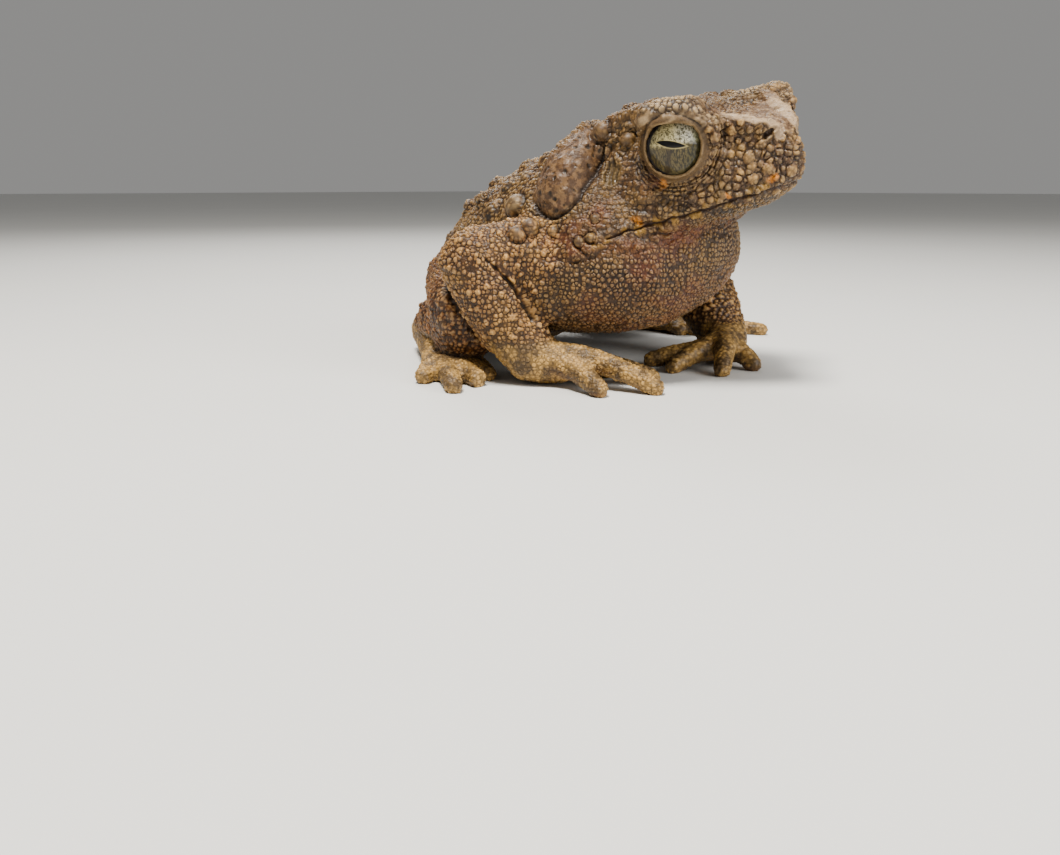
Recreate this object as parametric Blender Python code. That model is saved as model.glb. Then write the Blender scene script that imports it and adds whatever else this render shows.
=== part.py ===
"""Giant river toad (Phrynoidis juxtaspera), life size, sitting with its chest raised and its head turned.

The body is modelled whole from lofts and tapered tubes, fused by a voxel remesh, and then parted into
named nodes by cuts 0.3 mm wide. Sizes below are in millimetres. +X is where the toad faces, +Y its left
side and +Z up. The floor is at z = 0.
"""
import math
import random

import bmesh
import bpy
from mathutils import Matrix, Vector
from mathutils.bvhtree import BVHTree

MM = 0.001
GAP = 0.3
VOXEL = 1.25
WHOLE_TRIANGLES = 4200

# Head pose, and the point midway between the eyes
HEAD_YAW, HEAD_PITCH, HEAD_ROLL = -3.0, 2.7, 12.0
EYES_MID = Vector((114.5, -0.5, 97.7))

# The head's sections, in head axes from EYES_MID: forward, half width and height of the brow, height of
# the crown, half width and height of the lip, height of the jaw's floor
HEAD_SECTIONS = [
    (30.3, 1.8, -8.5, -7.5, 2.2, -13.0, -15.5),
    (28.6, 4.2, -4.2, -3.2, 4.6, -16.5, -19.0),
    (25.0, 7.6, -0.3, 0.8, 9.0, -19.0, -23.0),
    (17.0, 13.2, 3.0, 2.5, 17.0, -21.5, -27.8),
    (8.0, 18.0, 5.5, 3.8, 25.0, -23.5, -30.0),
    (-2.0, 21.0, 7.5, 5.2, 31.5, -25.5, -33.5),
    (-13.0, 24.0, 9.0, 8.0, 37.5, -27.5, -38.0),
    (-26.0, 27.0, 9.5, 10.5, 41.0, -30.0, -43.0),
    (-40.0, 28.0, 7.0, 11.5, 40.0, -32.0, -46.0),
    (-52.0, 26.0, 2.0, 8.0, 37.0, -32.0, -44.0),
    (-68.0, 22.0, -6.0, -1.5, 34.0, -32.0, -42.0),
]
MOUTH_LINE = [(-22.0, -29.5), (-12.0, -27.0), (0.0, -25.5), (14.0, -23.2), (27.0, -21.3), (45.0, -20.5)]
JAW_FLOOR = -36.5
OCCIPUT = -35.0

# The trunk's line turns by BODY_YAW behind BODY_PIVOT, in x; the hind legs turn with it
BODY_YAW = -10.0
BODY_PIVOT = 60.0

# The trunk's sections: x, top, height of the widest part, bottom, half width
TRUNK_SECTIONS = [
    (-55.0, 27.0, 20.0, 13.0, 7.0),
    (-50.0, 36.0, 22.0, 8.0, 19.0),
    (-38.0, 49.0, 24.0, 2.0, 31.0),
    (-20.0, 63.0, 28.0, -1.0, 42.0),
    (0.0, 76.0, 33.0, 3.0, 49.0),
    (20.0, 86.0, 38.0, 10.0, 52.0),
    (40.0, 92.0, 42.0, 16.0, 53.0),
    (60.0, 98.0, 46.0, 20.5, 52.0),
    (80.0, 99.0, 49.0, 21.5, 48.0),
    (95.0, 88.0, 50.0, 25.0, 40.0),
    (106.0, 76.0, 51.0, 31.5, 30.0),
    (112.5, 66.0, 52.0, 39.5, 18.0),
    (116.0, 58.0, 52.5, 47.0, 7.0),
]
TWIST_FROM, TWIST_TO = -20.0, 80.0

# Eyes, in head axes; the left side mirrors the right one all over the head
EYE_CENTRE = Vector((-2.0, -26.5, -1.0))
EYE_RADIUS = 11.2
EYE_AXIS = Vector((0.47, -0.88, 0.0)).normalized()
LID_OPENING = 10.1
LID_TOP = 9.6
LID_RADII = (13.7, 13.2, 13.4)
LID_SHIFT = Vector((-0.9, 0.6, 0.6))

# The upper lid's hood, which juts over the eye: its middle in the eye's own axes, and its radii
HOOD_SHIFT = Vector((1.2, -0.3, 9.9))
HOOD_RADII = (12.0, 12.6, 4.2)

# The crest from the nostril over the eye to the parotoid gland, with its radii
CREST = [
    (25.0, -7.4, -2.2),
    (14.0, -16.0, 4.0),
    (0.0, -21.0, 9.5),
    (-14.0, -24.0, 9.5),
    (-27.0, -27.0, 8.0),
    (-36.0, -28.0, 4.5),
]
CREST_RADII = (1.6, 2.4, 3.0, 3.0, 3.4, 4.8)

NOSTRIL = Vector((26.0, -9.5, -3.5))
NOSTRIL_RADII = (1.9, 1.1, 2.2)

# Parotoid gland, in head axes, and how far each sinks into the shoulder, in the model's axes
PAROTOID_LINE = [Vector((-41.5, -27.0, 3.5)), Vector((-46.0, -36.0, -6.5)), Vector((-47.5, -43.5, -16.0))]
PAROTOID_RADII = (8.0, 11.2, 9.4)
GLAND_SINK = {"right": Vector((0.0, 0.0, 0.0)), "left": Vector((-4.0, -5.0, -5.0))}

# Ear drum, in head axes
EAR_CENTRE = Vector((-25.5, -37.5, -7.5))
EAR_OUT = Vector((0.15, -1.0, 0.15))
EAR_RADII = (3.4, 5.0)
EAR_DEPTH = 5.0
SIDES = {"right": -1.0, "left": 1.0}

# Limbs: joints and radii, in the model's axes
SHOULDER = {"right": (68.0, -34.0, 53.0), "left": (70.0, 36.0, 58.0)}
ELBOW = {"right": (42.0, -60.0, 47.0), "left": (58.0, 61.0, 46.0)}
WRIST = {"right": (61.0, -49.0, 11.0), "left": (91.0, 47.0, 11.0)}
PALM = {"right": (71.0, -43.0, 8.5), "left": (98.0, 38.0, 8.0)}
ARM_RADII = (14.5, 14.5, 14.0)
FOREARM_RADII = (13.5, 14.2, 12.8, 10.0)
WRIST_RADII = (9.8, 9.2, 7.5)
FINGER_TIPS = {
    "right": [(79.0, -15.0), (98.0, -17.0), (110.0, -31.0), (97.0, -49.0)],
    "left": [(75.0, 14.0), (91.0, 8.0), (110.0, 16.0), (113.0, 36.0)],
}
FINGER_ARCH = [7.0, 9.0, 11.0, 8.0]
FINGER_RADII = (7.5, 4.8, 3.8, 3.5)
HAND_BOX = {"right": ((52.0, -78.0), (128.0, -2.0)), "left": ((62.0, -2.0), (136.0, 74.0))}
HAND_TOP = 17.5

HIP = {"right": (-20.0, -4.0, 30.0), "left": (-14.0, 42.0, 30.0)}
KNEE = {"right": (29.0, -53.0, 27.0), "left": (32.0, 76.0, 27.0)}
HEEL = {"right": (-27.0, -27.0, 10.0), "left": (-28.0, 76.0, 10.0)}
TARSUS_END = {"right": (12.0, -55.0, 7.0), "left": (14.0, 100.0, 7.0)}
THIGH_RADII = (22.0, 19.5, 16.0)
SHANK_RADII = (15.0, 13.0, 8.5)
TARSUS_RADII = (8.5, 7.5, 7.0)
TOE_TIPS = {
    "right": [(35.0, -50.0), (45.0, -57.0), (54.0, -69.0), (52.0, -82.0), (30.0, -79.0)],
    "left": [(35.0, 94.0), (48.0, 99.0), (62.0, 109.0), (66.0, 125.0), (38.0, 129.0)],
}
TOE_RADII = (6.5, 4.0, 3.4)
TIP_HEIGHT = 2.7
LIMB_MARGIN = 2.0
WEB_THICKNESS = 3.2
WEB_REACH = 0.86
FOOT_TOP = 9.0

# Warts: how many on each node, their least and greatest radii, and how far forward they grow, in x
WARTS = {
    "torso": (32, (3.2, 5.6), 92.0),
    "head": (8, (2.4, 3.4), 150.0),
    "thigh": (5, (2.8, 4.2), 150.0),
    "shank": (3, (2.6, 3.6), 150.0),
    "forearm": (4, (2.4, 3.2), 150.0),
    "upper_arm": (2, (2.4, 3.2), 150.0),
}
WART_PROFILE = [(-0.6, 0.9), (0.15, 0.95), (0.5, 0.5)]
WART_SIDES = 7
WART_CLEAR = 1.0
WART_LOWEST = 0.2

SKIN_COLOUR = (0.23, 0.16, 0.10)
EYE_COLOUR = (0.42, 0.36, 0.17)


def turn(yaw, pitch, roll):
    """The rotation that heads by yaw, noses up by pitch and lifts the left side by roll, in degrees."""
    return (
        Matrix.Rotation(math.radians(yaw), 3, "Z")
        @ Matrix.Rotation(math.radians(-pitch), 3, "Y")
        @ Matrix.Rotation(math.radians(roll), 3, "X")
    )


HEAD_TURN = turn(HEAD_YAW, HEAD_PITCH, HEAD_ROLL)


def from_body(point, side="left"):
    """A point beside the trunk, given for the left side, as a point of the model."""
    x, y, z = point
    ahead = BODY_PIVOT - x
    bend = math.radians(BODY_YAW) * smooth_step(ahead / 60.0 + 0.25)
    turned = Matrix.Rotation(bend, 3, "Z") @ Vector((-ahead, y * SIDES[side], z))
    return turned + Vector((BODY_PIVOT, 0.0, 0.0))


def from_head(point, side="right"):
    """A point in head axes, given for the right side, as a point of the model."""
    x, y, z = point
    return EYES_MID + HEAD_TURN @ Vector((x, y * (1.0 if side == "right" else -1.0), z))


def around(count):
    return [2 * math.pi * j / count for j in range(count)]


def smooth_step(t):
    t = min(1.0, max(0.0, t))
    return t * t * (3.0 - 2.0 * t)


def new_object(name, mesh):
    obj = bpy.data.objects.new(name, mesh)
    bpy.context.scene.collection.objects.link(obj)
    return obj


def mesh_object(name, points, faces):
    """An object from points in millimetres, with its faces turned outwards."""
    mesh = bpy.data.meshes.new(name)
    mesh.from_pydata([Vector(p) * MM for p in points], [], faces)
    bm = bmesh.new()
    bm.from_mesh(mesh)
    bmesh.ops.recalc_face_normals(bm, faces=bm.faces)
    bm.to_mesh(mesh)
    bm.free()
    return new_object(name, mesh)


def loft(name, rings):
    """A closed body through rings of equal count, with a flat cap at each end."""
    count = len(rings[0])
    points = [p for ring in rings for p in ring]
    faces = []
    for i in range(len(rings) - 1):
        for j in range(count):
            k = (j + 1) % count
            faces.append((i * count + j, i * count + k, (i + 1) * count + k, (i + 1) * count + j))
    faces.append(tuple(range(count)))
    faces.append(tuple(range((len(rings) - 1) * count, len(rings) * count)))
    return mesh_object(name, points, faces)


def catmull(points, steps):
    """Points along a smooth curve through the given points."""
    pts = [Vector(p) for p in points]
    pts = [pts[0] * 2 - pts[1]] + pts + [pts[-1] * 2 - pts[-2]]
    out = []
    for i in range(1, len(pts) - 2):
        a, b, c, d = pts[i - 1 : i + 3]
        for s in range(steps):
            t = s / steps
            bend, twist = 2 * a - 5 * b + 4 * c - d, 3 * b - a - 3 * c + d
            out.append(0.5 * (2 * b + (c - a) * t + bend * t * t + twist * t**3))
    out.append(pts[-2])
    return out


def tube(name, joints, radii, steps=5, sides=16, ends=4, grow=0.0):
    """A tapered tube with round ends through joints, its radii spread evenly along it."""
    path = catmull(joints, steps)
    spread = catmull([(r, 0.0, 0.0) for r in radii], 8)
    size = [spread[round(i * (len(spread) - 1) / (len(path) - 1))][0] + grow for i in range(len(path))]
    centres, sizes = [], []
    start, finish = (path[0] - path[1]).normalized(), (path[-1] - path[-2]).normalized()
    for i in range(ends):
        a = math.pi / 2 * (i + 0.35) / (ends + 0.35)
        centres.append(path[0] + start * size[0] * math.cos(a))
        sizes.append(size[0] * math.sin(a))
    centres += path
    sizes += size
    for i in reversed(range(ends)):
        a = math.pi / 2 * (i + 0.35) / (ends + 0.35)
        centres.append(path[-1] + finish * size[-1] * math.cos(a))
        sizes.append(size[-1] * math.sin(a))
    across = start.orthogonal().normalized()
    rings = []
    for i, centre in enumerate(centres):
        ahead = centres[min(i + 1, len(centres) - 1)] - centres[max(i - 1, 0)]
        ahead.normalize()
        across = (across - ahead * across.dot(ahead)).normalized()
        other = ahead.cross(across)
        turns = [2 * math.pi * j / sides for j in range(sides)]
        rings.append([centre + (across * math.cos(t) + other * math.sin(t)) * sizes[i] for t in turns])
    return loft(name, rings)


def ellipsoid(name, centre, radii, rotation=None, segments=18, rings=10):
    """An ellipsoid with its axes turned by a 3x3 rotation."""
    bm = bmesh.new()
    bmesh.ops.create_uvsphere(bm, u_segments=segments, v_segments=rings, radius=1.0)
    rotation = rotation or Matrix.Identity(3)
    for v in bm.verts:
        scaled = Vector((v.co.x * radii[0], v.co.y * radii[1], v.co.z * radii[2]))
        v.co = (Vector(centre) + rotation @ scaled) * MM
    mesh = bpy.data.meshes.new(name)
    bm.to_mesh(mesh)
    bm.free()
    return new_object(name, mesh)


def head_ring(section):
    """One section of the head: flat crown, brow, cheek, flared lip and jaw."""
    x, brow_w, brow_z, crown_z, lip_w, lip_z, floor_z = section
    half = [
        (0.0, crown_z),
        (brow_w * 0.55, crown_z + (brow_z - crown_z) * 0.35),
        (brow_w * 0.95, brow_z - 0.3),
        (brow_w * 0.62 + lip_w * 0.42, brow_z * 0.62 + lip_z * 0.38),
        (lip_w * 0.98, lip_z + (brow_z - lip_z) * 0.22),
        (lip_w * 0.985, lip_z - 1.0),
        (lip_w * 0.86, lip_z * 0.45 + floor_z * 0.55),
        (lip_w * 0.45, floor_z + (lip_z - floor_z) * 0.12),
        (0.0, floor_z),
    ]
    right = catmull([(0.0, -y, z) for y, z in half], 3)
    left = [Vector((0.0, -p.y, p.z)) for p in reversed(right[1:-1])]
    return [from_head((x, p.y, p.z)) for p in right + left]


def trunk_ring(section):
    """One section of the trunk: narrow back, full flanks, rounded belly; it twists towards the head."""
    x, top, wide_z, bottom, half_width = section
    roll = HEAD_ROLL * smooth_step((x - TWIST_FROM) / (TWIST_TO - TWIST_FROM))
    turned = Matrix.Rotation(math.radians(roll), 3, "X")
    ring = []
    sides = 40
    for j in range(sides):
        t = 2 * math.pi * j / sides
        c, s = math.cos(t), math.sin(t)
        above = s >= 0.0
        y = half_width * math.copysign(abs(c) ** (0.92 if above else 0.85), c)
        z = (top - wide_z) * s**1.12 if above else -(wide_z - bottom) * abs(s) ** 0.9
        ring.append(from_body(Vector((x, 0.0, wide_z)) + turned @ Vector((0.0, y, z))))
    return ring


def limb_joints(side, *tables):
    return [Vector(table[side]) for table in tables]


def arm_shapes(side):
    """The centre lines and radii of the upper arm, forearm and wrist."""
    shoulder, elbow, wrist, palm = limb_joints(side, SHOULDER, ELBOW, WRIST, PALM)
    third = (wrist - elbow) / 3
    return {
        "upper_arm": ([shoulder, (shoulder + elbow) / 2, elbow], ARM_RADII),
        "forearm": ([elbow, elbow + third, elbow + third * 2, wrist], FOREARM_RADII),
        "wrist": ([wrist, (wrist + palm) / 2, palm], WRIST_RADII),
    }


def leg_shapes(side):
    """The centre lines and radii of the thigh, shank and tarsus."""
    hip, knee, heel, end = limb_joints(side, HIP, KNEE, HEEL, TARSUS_END)
    thigh = hip.lerp(knee, 0.5) + Vector((0, 0, 3))
    shank = knee.lerp(heel, 0.5) - Vector((0, 0, 2))
    return {
        "thigh": ([hip, thigh, knee], THIGH_RADII),
        "shank": ([knee - Vector((0, 0, 5)), shank, heel], SHANK_RADII),
        "tarsus": ([heel, heel.lerp(end, 0.5), end], TARSUS_RADII),
    }


def make_arm(side):
    pieces = [tube(name, *shape) for name, shape in arm_shapes(side).items()]
    wrist, palm = limb_joints(side, WRIST, PALM)
    for tip, arch in zip(FINGER_TIPS[side], FINGER_ARCH):
        end = Vector((tip[0], tip[1], TIP_HEIGHT))
        knuckle = palm.lerp(end, 0.33)
        knuckle.z = arch
        near = palm.lerp(end, 0.75)
        near.z = TIP_HEIGHT + (arch - TIP_HEIGHT) * 0.5
        pieces.append(tube("finger", [wrist.lerp(palm, 0.5), knuckle, near, end], FINGER_RADII, sides=12))
    return pieces


def make_leg(side):
    pieces = [tube(name, *shape) for name, shape in leg_shapes(side).items()]
    heel, end = limb_joints(side, HEEL, TARSUS_END)
    tips = [Vector((x, y, TIP_HEIGHT)) for x, y in TOE_TIPS[side]]
    for tip in tips:
        middle = end.lerp(tip, 0.5)
        middle.z = 4.8
        pieces.append(tube("toe", [heel.lerp(end, 0.85), middle, tip], TOE_RADII, sides=12))
    for a, b in zip(tips, tips[1:]):
        pieces.append(web(end, a, b))
    return pieces


def web(root, tip_a, tip_b):
    """The skin between two toes: a thin plate with a hollow free edge."""
    reach_a, reach_b = root.lerp(tip_a, WEB_REACH), root.lerp(tip_b, WEB_REACH)
    hollow = root.lerp((reach_a + reach_b) / 2, 0.86)
    outline = [root, root.lerp(reach_a, 0.5), reach_a, hollow, reach_b, root.lerp(reach_b, 0.5)]
    top = [Vector((p.x, p.y, 0.8 + WEB_THICKNESS)) for p in outline]
    low = [Vector((p.x, p.y, 0.8)) for p in outline]
    return loft("web", [top, low])


def evaluated(obj):
    """The object's mesh with its modifiers applied."""
    graph = bpy.context.evaluated_depsgraph_get()
    mesh = bpy.data.meshes.new_from_object(obj.evaluated_get(graph))
    obj.modifiers.clear()
    obj.data = mesh
    return obj


def joined(name, objects):
    """One object that holds the meshes of all, which are removed."""
    bm = bmesh.new()
    for obj in objects:
        bm.from_mesh(obj.data)
    mesh = bpy.data.meshes.new(name)
    bm.to_mesh(mesh)
    bm.free()
    for obj in objects:
        bpy.data.objects.remove(obj)
    return new_object(name, mesh)


def triangle_count(obj):
    obj.data.calc_loop_triangles()
    return len(obj.data.loop_triangles)


def fused(obj, rounds, triangles):
    """Overlapping closed shapes as one smooth surface of about so many triangles."""
    remesh = obj.modifiers.new("fuse", "REMESH")
    remesh.mode = "VOXEL"
    remesh.voxel_size = VOXEL * MM
    smooth = obj.modifiers.new("soften", "SMOOTH")
    smooth.factor = 0.5
    smooth.iterations = rounds
    evaluated(obj)
    thin = obj.modifiers.new("thin", "DECIMATE")
    thin.ratio = triangles / triangle_count(obj)
    return evaluated(obj)


def boolean(obj, other, operation):
    """The object joined with, cut by or kept within another."""
    change = obj.modifiers.new("change", "BOOLEAN")
    change.operation = operation
    change.solver = "EXACT"
    change.object = other
    evaluated(obj)


def island_volume(faces):
    return sum(f.calc_center_median().dot(f.normal) * f.calc_area() for f in faces) / 3


def keep_largest(obj):
    """Removes every closed surface of the object but the largest."""
    bm = bmesh.new()
    bm.from_mesh(obj.data)
    left = set(bm.faces)
    islands = []
    while left:
        stack = [left.pop()]
        island = list(stack)
        while stack:
            for edge in stack.pop().edges:
                for face in edge.link_faces:
                    if face in left:
                        left.remove(face)
                        stack.append(face)
                        island.append(face)
        islands.append(island)
    islands.sort(key=island_volume)
    for island in islands[:-1]:
        bmesh.ops.delete(bm, geom=island, context="FACES")
    bm.to_mesh(obj.data)
    bm.free()


def block(name, low, high, place=None):
    """A box between two corners, moved by place(point) where it is given."""
    corners = [(low[0], low[1]), (high[0], low[1]), (high[0], high[1]), (low[0], high[1])]
    rings = [[Vector((x, y, z)) for x, y in corners] for z in (low[2], high[2])]
    if place:
        rings = [[place(p) for p in ring] for ring in rings]
    return loft(name, rings)


def hand_region(side, grow):
    (x0, y0), (x1, y1) = HAND_BOX[side]
    return block("region", (x0 - grow, y0 - grow, -9.0), (x1 + grow, y1 + grow, HAND_TOP + grow))


def foot_region(side, grow):
    """The tarsus and a low block around the toes."""
    line, radii = leg_shapes(side)["tarsus"]
    region = tube("region", line, radii, 3, 10, 2, 2.0 + grow)
    xs = [x for x, _ in TOE_TIPS[side]] + [TARSUS_END[side][0] - 4.0]
    ys = [y for _, y in TOE_TIPS[side]] + [TARSUS_END[side][1]]
    low = (min(xs) - 8.0 - grow, min(ys) - 8.0 - grow, -9.0)
    high = (max(xs) + 8.0 + grow, max(ys) + 8.0 + grow, FOOT_TOP + grow)
    toes = block("toes", low, high)
    boolean(region, toes, "UNION")
    bpy.data.objects.remove(toes)
    return region


def limb_region(side, part, grow):
    line, radii = {**arm_shapes(side), **leg_shapes(side)}[part]
    return tube("region", line, radii, 3, 12, 3, LIMB_MARGIN + grow)


def gland_region(side, grow):
    return tube("region", *gland_shape(side), 3, 12, 3, 1.0 + grow)


def ear_region(side, grow):
    """A short round rod through the ear drum, square to the cheek."""
    centre = from_head(EAR_CENTRE, side)
    out = (from_head(EAR_CENTRE + EAR_OUT, side) - centre).normalized()
    up = HEAD_TURN @ Vector((0, 0, 1))
    along = out.cross(up)
    rings = []
    for reach in (-EAR_DEPTH - grow, 12.0):
        ring = []
        for j in range(20):
            t = 2 * math.pi * j / 20
            shift = along * (EAR_RADII[0] + grow) * math.cos(t) + up * (EAR_RADII[1] + grow) * math.sin(t)
            ring.append(centre + out * reach + shift)
        rings.append(ring)
    return loft("region", rings)


def head_region(side, grow):
    """All in front of the neck and above the throat."""
    low, high = (OCCIPUT - grow, -80.0, JAW_FLOOR - grow), (80.0, 80.0, 60.0)
    return block("region", low, high, from_head)


def jaw_region(side, grow):
    """All under the line of the mouth."""
    line = [(x, z + grow) for x, z in MOUTH_LINE]
    line[0] = (line[0][0] - grow, line[0][1])
    outline = line + [(90.0, -70.0), (line[0][0], -70.0)]
    return loft("region", [[from_head((x, y, z)) for x, z in outline] for y in (-80.0, 80.0)])


def carve(rest, name, region, *where):
    """Takes the part of the rest within a region off as a node, and leaves GAP between the two."""
    inner, outer = region(*where, 0.0), region(*where, GAP)
    node = new_object(name, rest.data.copy())
    boolean(node, inner, "INTERSECT")
    boolean(rest, outer, "DIFFERENCE")
    bpy.data.objects.remove(inner)
    bpy.data.objects.remove(outer)
    keep_largest(node)
    return node


def gland_shape(side):
    return [from_head(p, side) + GLAND_SINK[side] for p in PAROTOID_LINE], PAROTOID_RADII


def eye_place(side):
    """The eye's centre, and the turn that takes +X to the way it looks."""
    centre = from_head(EYE_CENTRE, side)
    out = (from_head(EYE_CENTRE + EYE_AXIS, side) - centre).normalized()
    up = HEAD_TURN @ Vector((0, 0, 1))
    across = up.cross(out).normalized()
    return centre, Matrix((out, across, out.cross(across))).transposed()


def make_head():
    pieces = [loft("head", [head_ring(s) for s in HEAD_SECTIONS])]
    for side in SIDES:
        centre, turned = eye_place(side)
        pieces.append(ellipsoid("mound", centre + turned @ LID_SHIFT, LID_RADII, turned))
        pieces.append(ellipsoid("hood", centre + turned @ HOOD_SHIFT, HOOD_RADII, turned))
        pieces.append(tube("crest", [from_head(p, side) for p in CREST], CREST_RADII, steps=4, sides=12))
        pieces.append(tube("gland", *gland_shape(side)))
    return pieces


def seat_eyes(head):
    """Cuts a socket and the lids' opening for each eye, and returns the eyes."""
    eyes = []
    for side in SIDES:
        centre, turned = eye_place(side)
        socket = ellipsoid("socket", centre, (EYE_RADIUS + GAP,) * 3, turned)
        rings = []
        for reach, wide in ((3.4, LID_OPENING - 1.6), (6.7, LID_OPENING), (20.0, LID_OPENING + 5.0)):
            rim = [(math.cos(t) * wide, min(math.sin(t) * wide, LID_TOP)) for t in around(24)]
            rings.append([centre + turned @ Vector((reach, y, z)) for y, z in rim])
        opening = loft("opening", rings)
        for cutter in (socket, opening):
            boolean(head, cutter, "DIFFERENCE")
            bpy.data.objects.remove(cutter)
        eyes.append(ellipsoid(f"eye_{side}", centre, (EYE_RADIUS,) * 3, turned))
    return eyes


def cut_nostrils(head):
    """A slanted pit on each side of the snout."""
    for side in SIDES:
        place, normal = nearest(head, from_head(NOSTRIL, side))
        pit = ellipsoid("pit", place, NOSTRIL_RADII, HEAD_TURN @ turn(0.0, 35.0, 0.0), 12, 8)
        boolean(head, pit, "DIFFERENCE")
        bpy.data.objects.remove(pit)


def nearest(obj, point):
    """The nearest point of an object's surface, and the normal there."""
    tree = BVHTree.FromObject(obj, bpy.context.evaluated_depsgraph_get())
    place, normal, _, _ = tree.find_nearest(point * MM)
    return place / MM, normal


def surface_spots(obj, seed):
    """An endless run of seeded points spread evenly over an object, each with its normal."""
    rng = random.Random(seed)
    obj.data.calc_loop_triangles()
    triangles = list(obj.data.loop_triangles)
    areas = [t.area for t in triangles]
    while True:
        triangle = rng.choices(triangles, areas)[0]
        a, b, c = (obj.data.vertices[i].co for i in triangle.vertices)
        u, v = sorted((rng.random(), rng.random()))
        yield (a * u + b * (v - u) + c * (1.0 - v)) / MM, triangle.normal, rng.random()


def wart(place, normal, radius):
    """A low faceted dome with its root in the skin."""
    turned = normal.to_track_quat("Z", "Y").to_matrix()
    rings = []
    for height, wide in WART_PROFILE:
        spokes = [Vector((math.cos(t) * wide, math.sin(t) * wide, height)) for t in around(WART_SIDES)]
        rings.append([place + turned @ spoke * radius for spoke in spokes])
    return loft("wart", rings)


def grow_warts(node, others, count, sizes, front, seed):
    """Seeded warts on the upper side of a node, clear of the nodes next to it, joined by one union."""
    graph = bpy.context.evaluated_depsgraph_get()
    trees = [BVHTree.FromObject(o, graph) for o in others if o is not node]
    group = bpy.data.collections.new("warts")
    taken = []
    spots = surface_spots(node, seed)
    for place, normal, chance in spots:
        radius = sizes[0] + (sizes[1] - sizes[0]) * chance
        reach = radius + WART_CLEAR
        if len(taken) == count:
            break
        if normal.z < WART_LOWEST or place.x > front:
            continue
        if any((place - p).length < radius + r + 0.8 for p, r in taken):
            continue
        if any(tree.find_nearest(place * MM, reach * MM)[0] for tree in trees):
            continue
        taken.append((place, radius))
        grown = wart(place, normal, radius)
        bpy.context.scene.collection.objects.unlink(grown)
        group.objects.link(grown)
    union = node.modifiers.new("warts", "BOOLEAN")
    union.operation = "UNION"
    union.solver = "EXACT"
    union.operand_type = "COLLECTION"
    union.collection = group
    evaluated(node)
    for grown in list(group.objects):
        bpy.data.objects.remove(grown)
    bpy.data.collections.remove(group)
    keep_largest(node)


def painted(obj, colour, roughness):
    material = bpy.data.materials.new(obj.name)
    material.use_nodes = True
    shader = material.node_tree.nodes["Principled BSDF"]
    shader.inputs["Base Color"].default_value = (*colour, 1.0)
    shader.inputs["Roughness"].default_value = roughness
    obj.data.materials.clear()
    obj.data.materials.append(material)


def to_origin(nodes):
    """Moves all nodes alike, so that the origin is under the middle of their box."""
    points = [v.co for node in nodes for v in node.data.vertices]
    low = Vector([min(p[i] for p in points) for i in range(3)])
    high = Vector([max(p[i] for p in points) for i in range(3)])
    shift = Vector((-(low.x + high.x) / 2, -(low.y + high.y) / 2, -low.z))
    for node in nodes:
        node.data.transform(Matrix.Translation(shift))


def main():
    for obj in list(bpy.data.objects):
        bpy.data.objects.remove(obj)
    pieces = make_head() + [loft("trunk", [trunk_ring(s) for s in TRUNK_SECTIONS])]
    for side in SIDES:
        pieces += make_arm(side) + make_leg(side)
    body = fused(joined("torso", pieces), 5, WHOLE_TRIANGLES)
    under = block("under", (-200.0, -200.0, -50.0), (300.0, 200.0, 0.0))
    boolean(body, under, "DIFFERENCE")
    bpy.data.objects.remove(under)
    nodes = []
    for side in SIDES:
        nodes.append(carve(body, f"hand_{side}", hand_region, side))
        nodes.append(carve(body, f"forearm_{side}", limb_region, side, "forearm"))
        nodes.append(carve(body, f"upper_arm_{side}", limb_region, side, "upper_arm"))
        nodes.append(carve(body, f"foot_{side}", foot_region, side))
        nodes.append(carve(body, f"shank_{side}", limb_region, side, "shank"))
        nodes.append(carve(body, f"thigh_{side}", limb_region, side, "thigh"))
        nodes.append(carve(body, f"parotoid_gland_{side}", gland_region, side))
        nodes.append(carve(body, f"tympanum_{side}", ear_region, side))
    head = carve(body, "head", head_region, "right")
    eyes = seat_eyes(head)
    cut_nostrils(head)
    jaw = carve(head, "lower_jaw", jaw_region, "right")
    keep_largest(head)
    keep_largest(body)
    nodes += [head, jaw, body]
    for node in nodes:
        for seed, (part, numbers) in enumerate(WARTS.items()):
            if node.name.startswith(part):
                grow_warts(node, nodes + eyes, *numbers, seed)
    for node in nodes:
        painted(node, SKIN_COLOUR, 0.6)
    for eye in eyes:
        painted(eye, EYE_COLOUR, 0.1)
    to_origin(nodes + eyes)


main()
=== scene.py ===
"""The looks of the giant river toad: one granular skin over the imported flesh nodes, and two glossy eyes.

Places are in millimetres in the modelling frame of part.py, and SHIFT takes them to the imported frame.
Places on the head are in its own axes (x to the snout, y left, z up), from midway between the eyes.
"""

import itertools
import math

import bmesh
import bpy
import numpy as np
from mathutils import Matrix, Vector
from mathutils.bvhtree import BVHTree


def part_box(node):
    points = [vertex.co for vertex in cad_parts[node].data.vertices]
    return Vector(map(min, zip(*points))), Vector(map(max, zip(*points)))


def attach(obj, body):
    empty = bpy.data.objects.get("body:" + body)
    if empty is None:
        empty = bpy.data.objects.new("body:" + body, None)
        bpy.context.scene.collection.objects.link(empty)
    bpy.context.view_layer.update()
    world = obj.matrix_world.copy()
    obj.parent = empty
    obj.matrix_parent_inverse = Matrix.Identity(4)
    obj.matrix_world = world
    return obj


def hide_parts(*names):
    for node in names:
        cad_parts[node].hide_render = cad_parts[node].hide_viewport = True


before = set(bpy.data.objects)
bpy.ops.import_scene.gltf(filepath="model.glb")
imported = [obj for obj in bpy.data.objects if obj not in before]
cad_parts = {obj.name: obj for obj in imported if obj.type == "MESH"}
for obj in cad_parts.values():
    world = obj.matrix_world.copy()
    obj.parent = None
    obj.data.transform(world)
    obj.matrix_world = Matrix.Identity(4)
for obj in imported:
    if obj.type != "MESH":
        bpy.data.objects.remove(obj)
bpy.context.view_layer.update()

MM = 0.001
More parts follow.
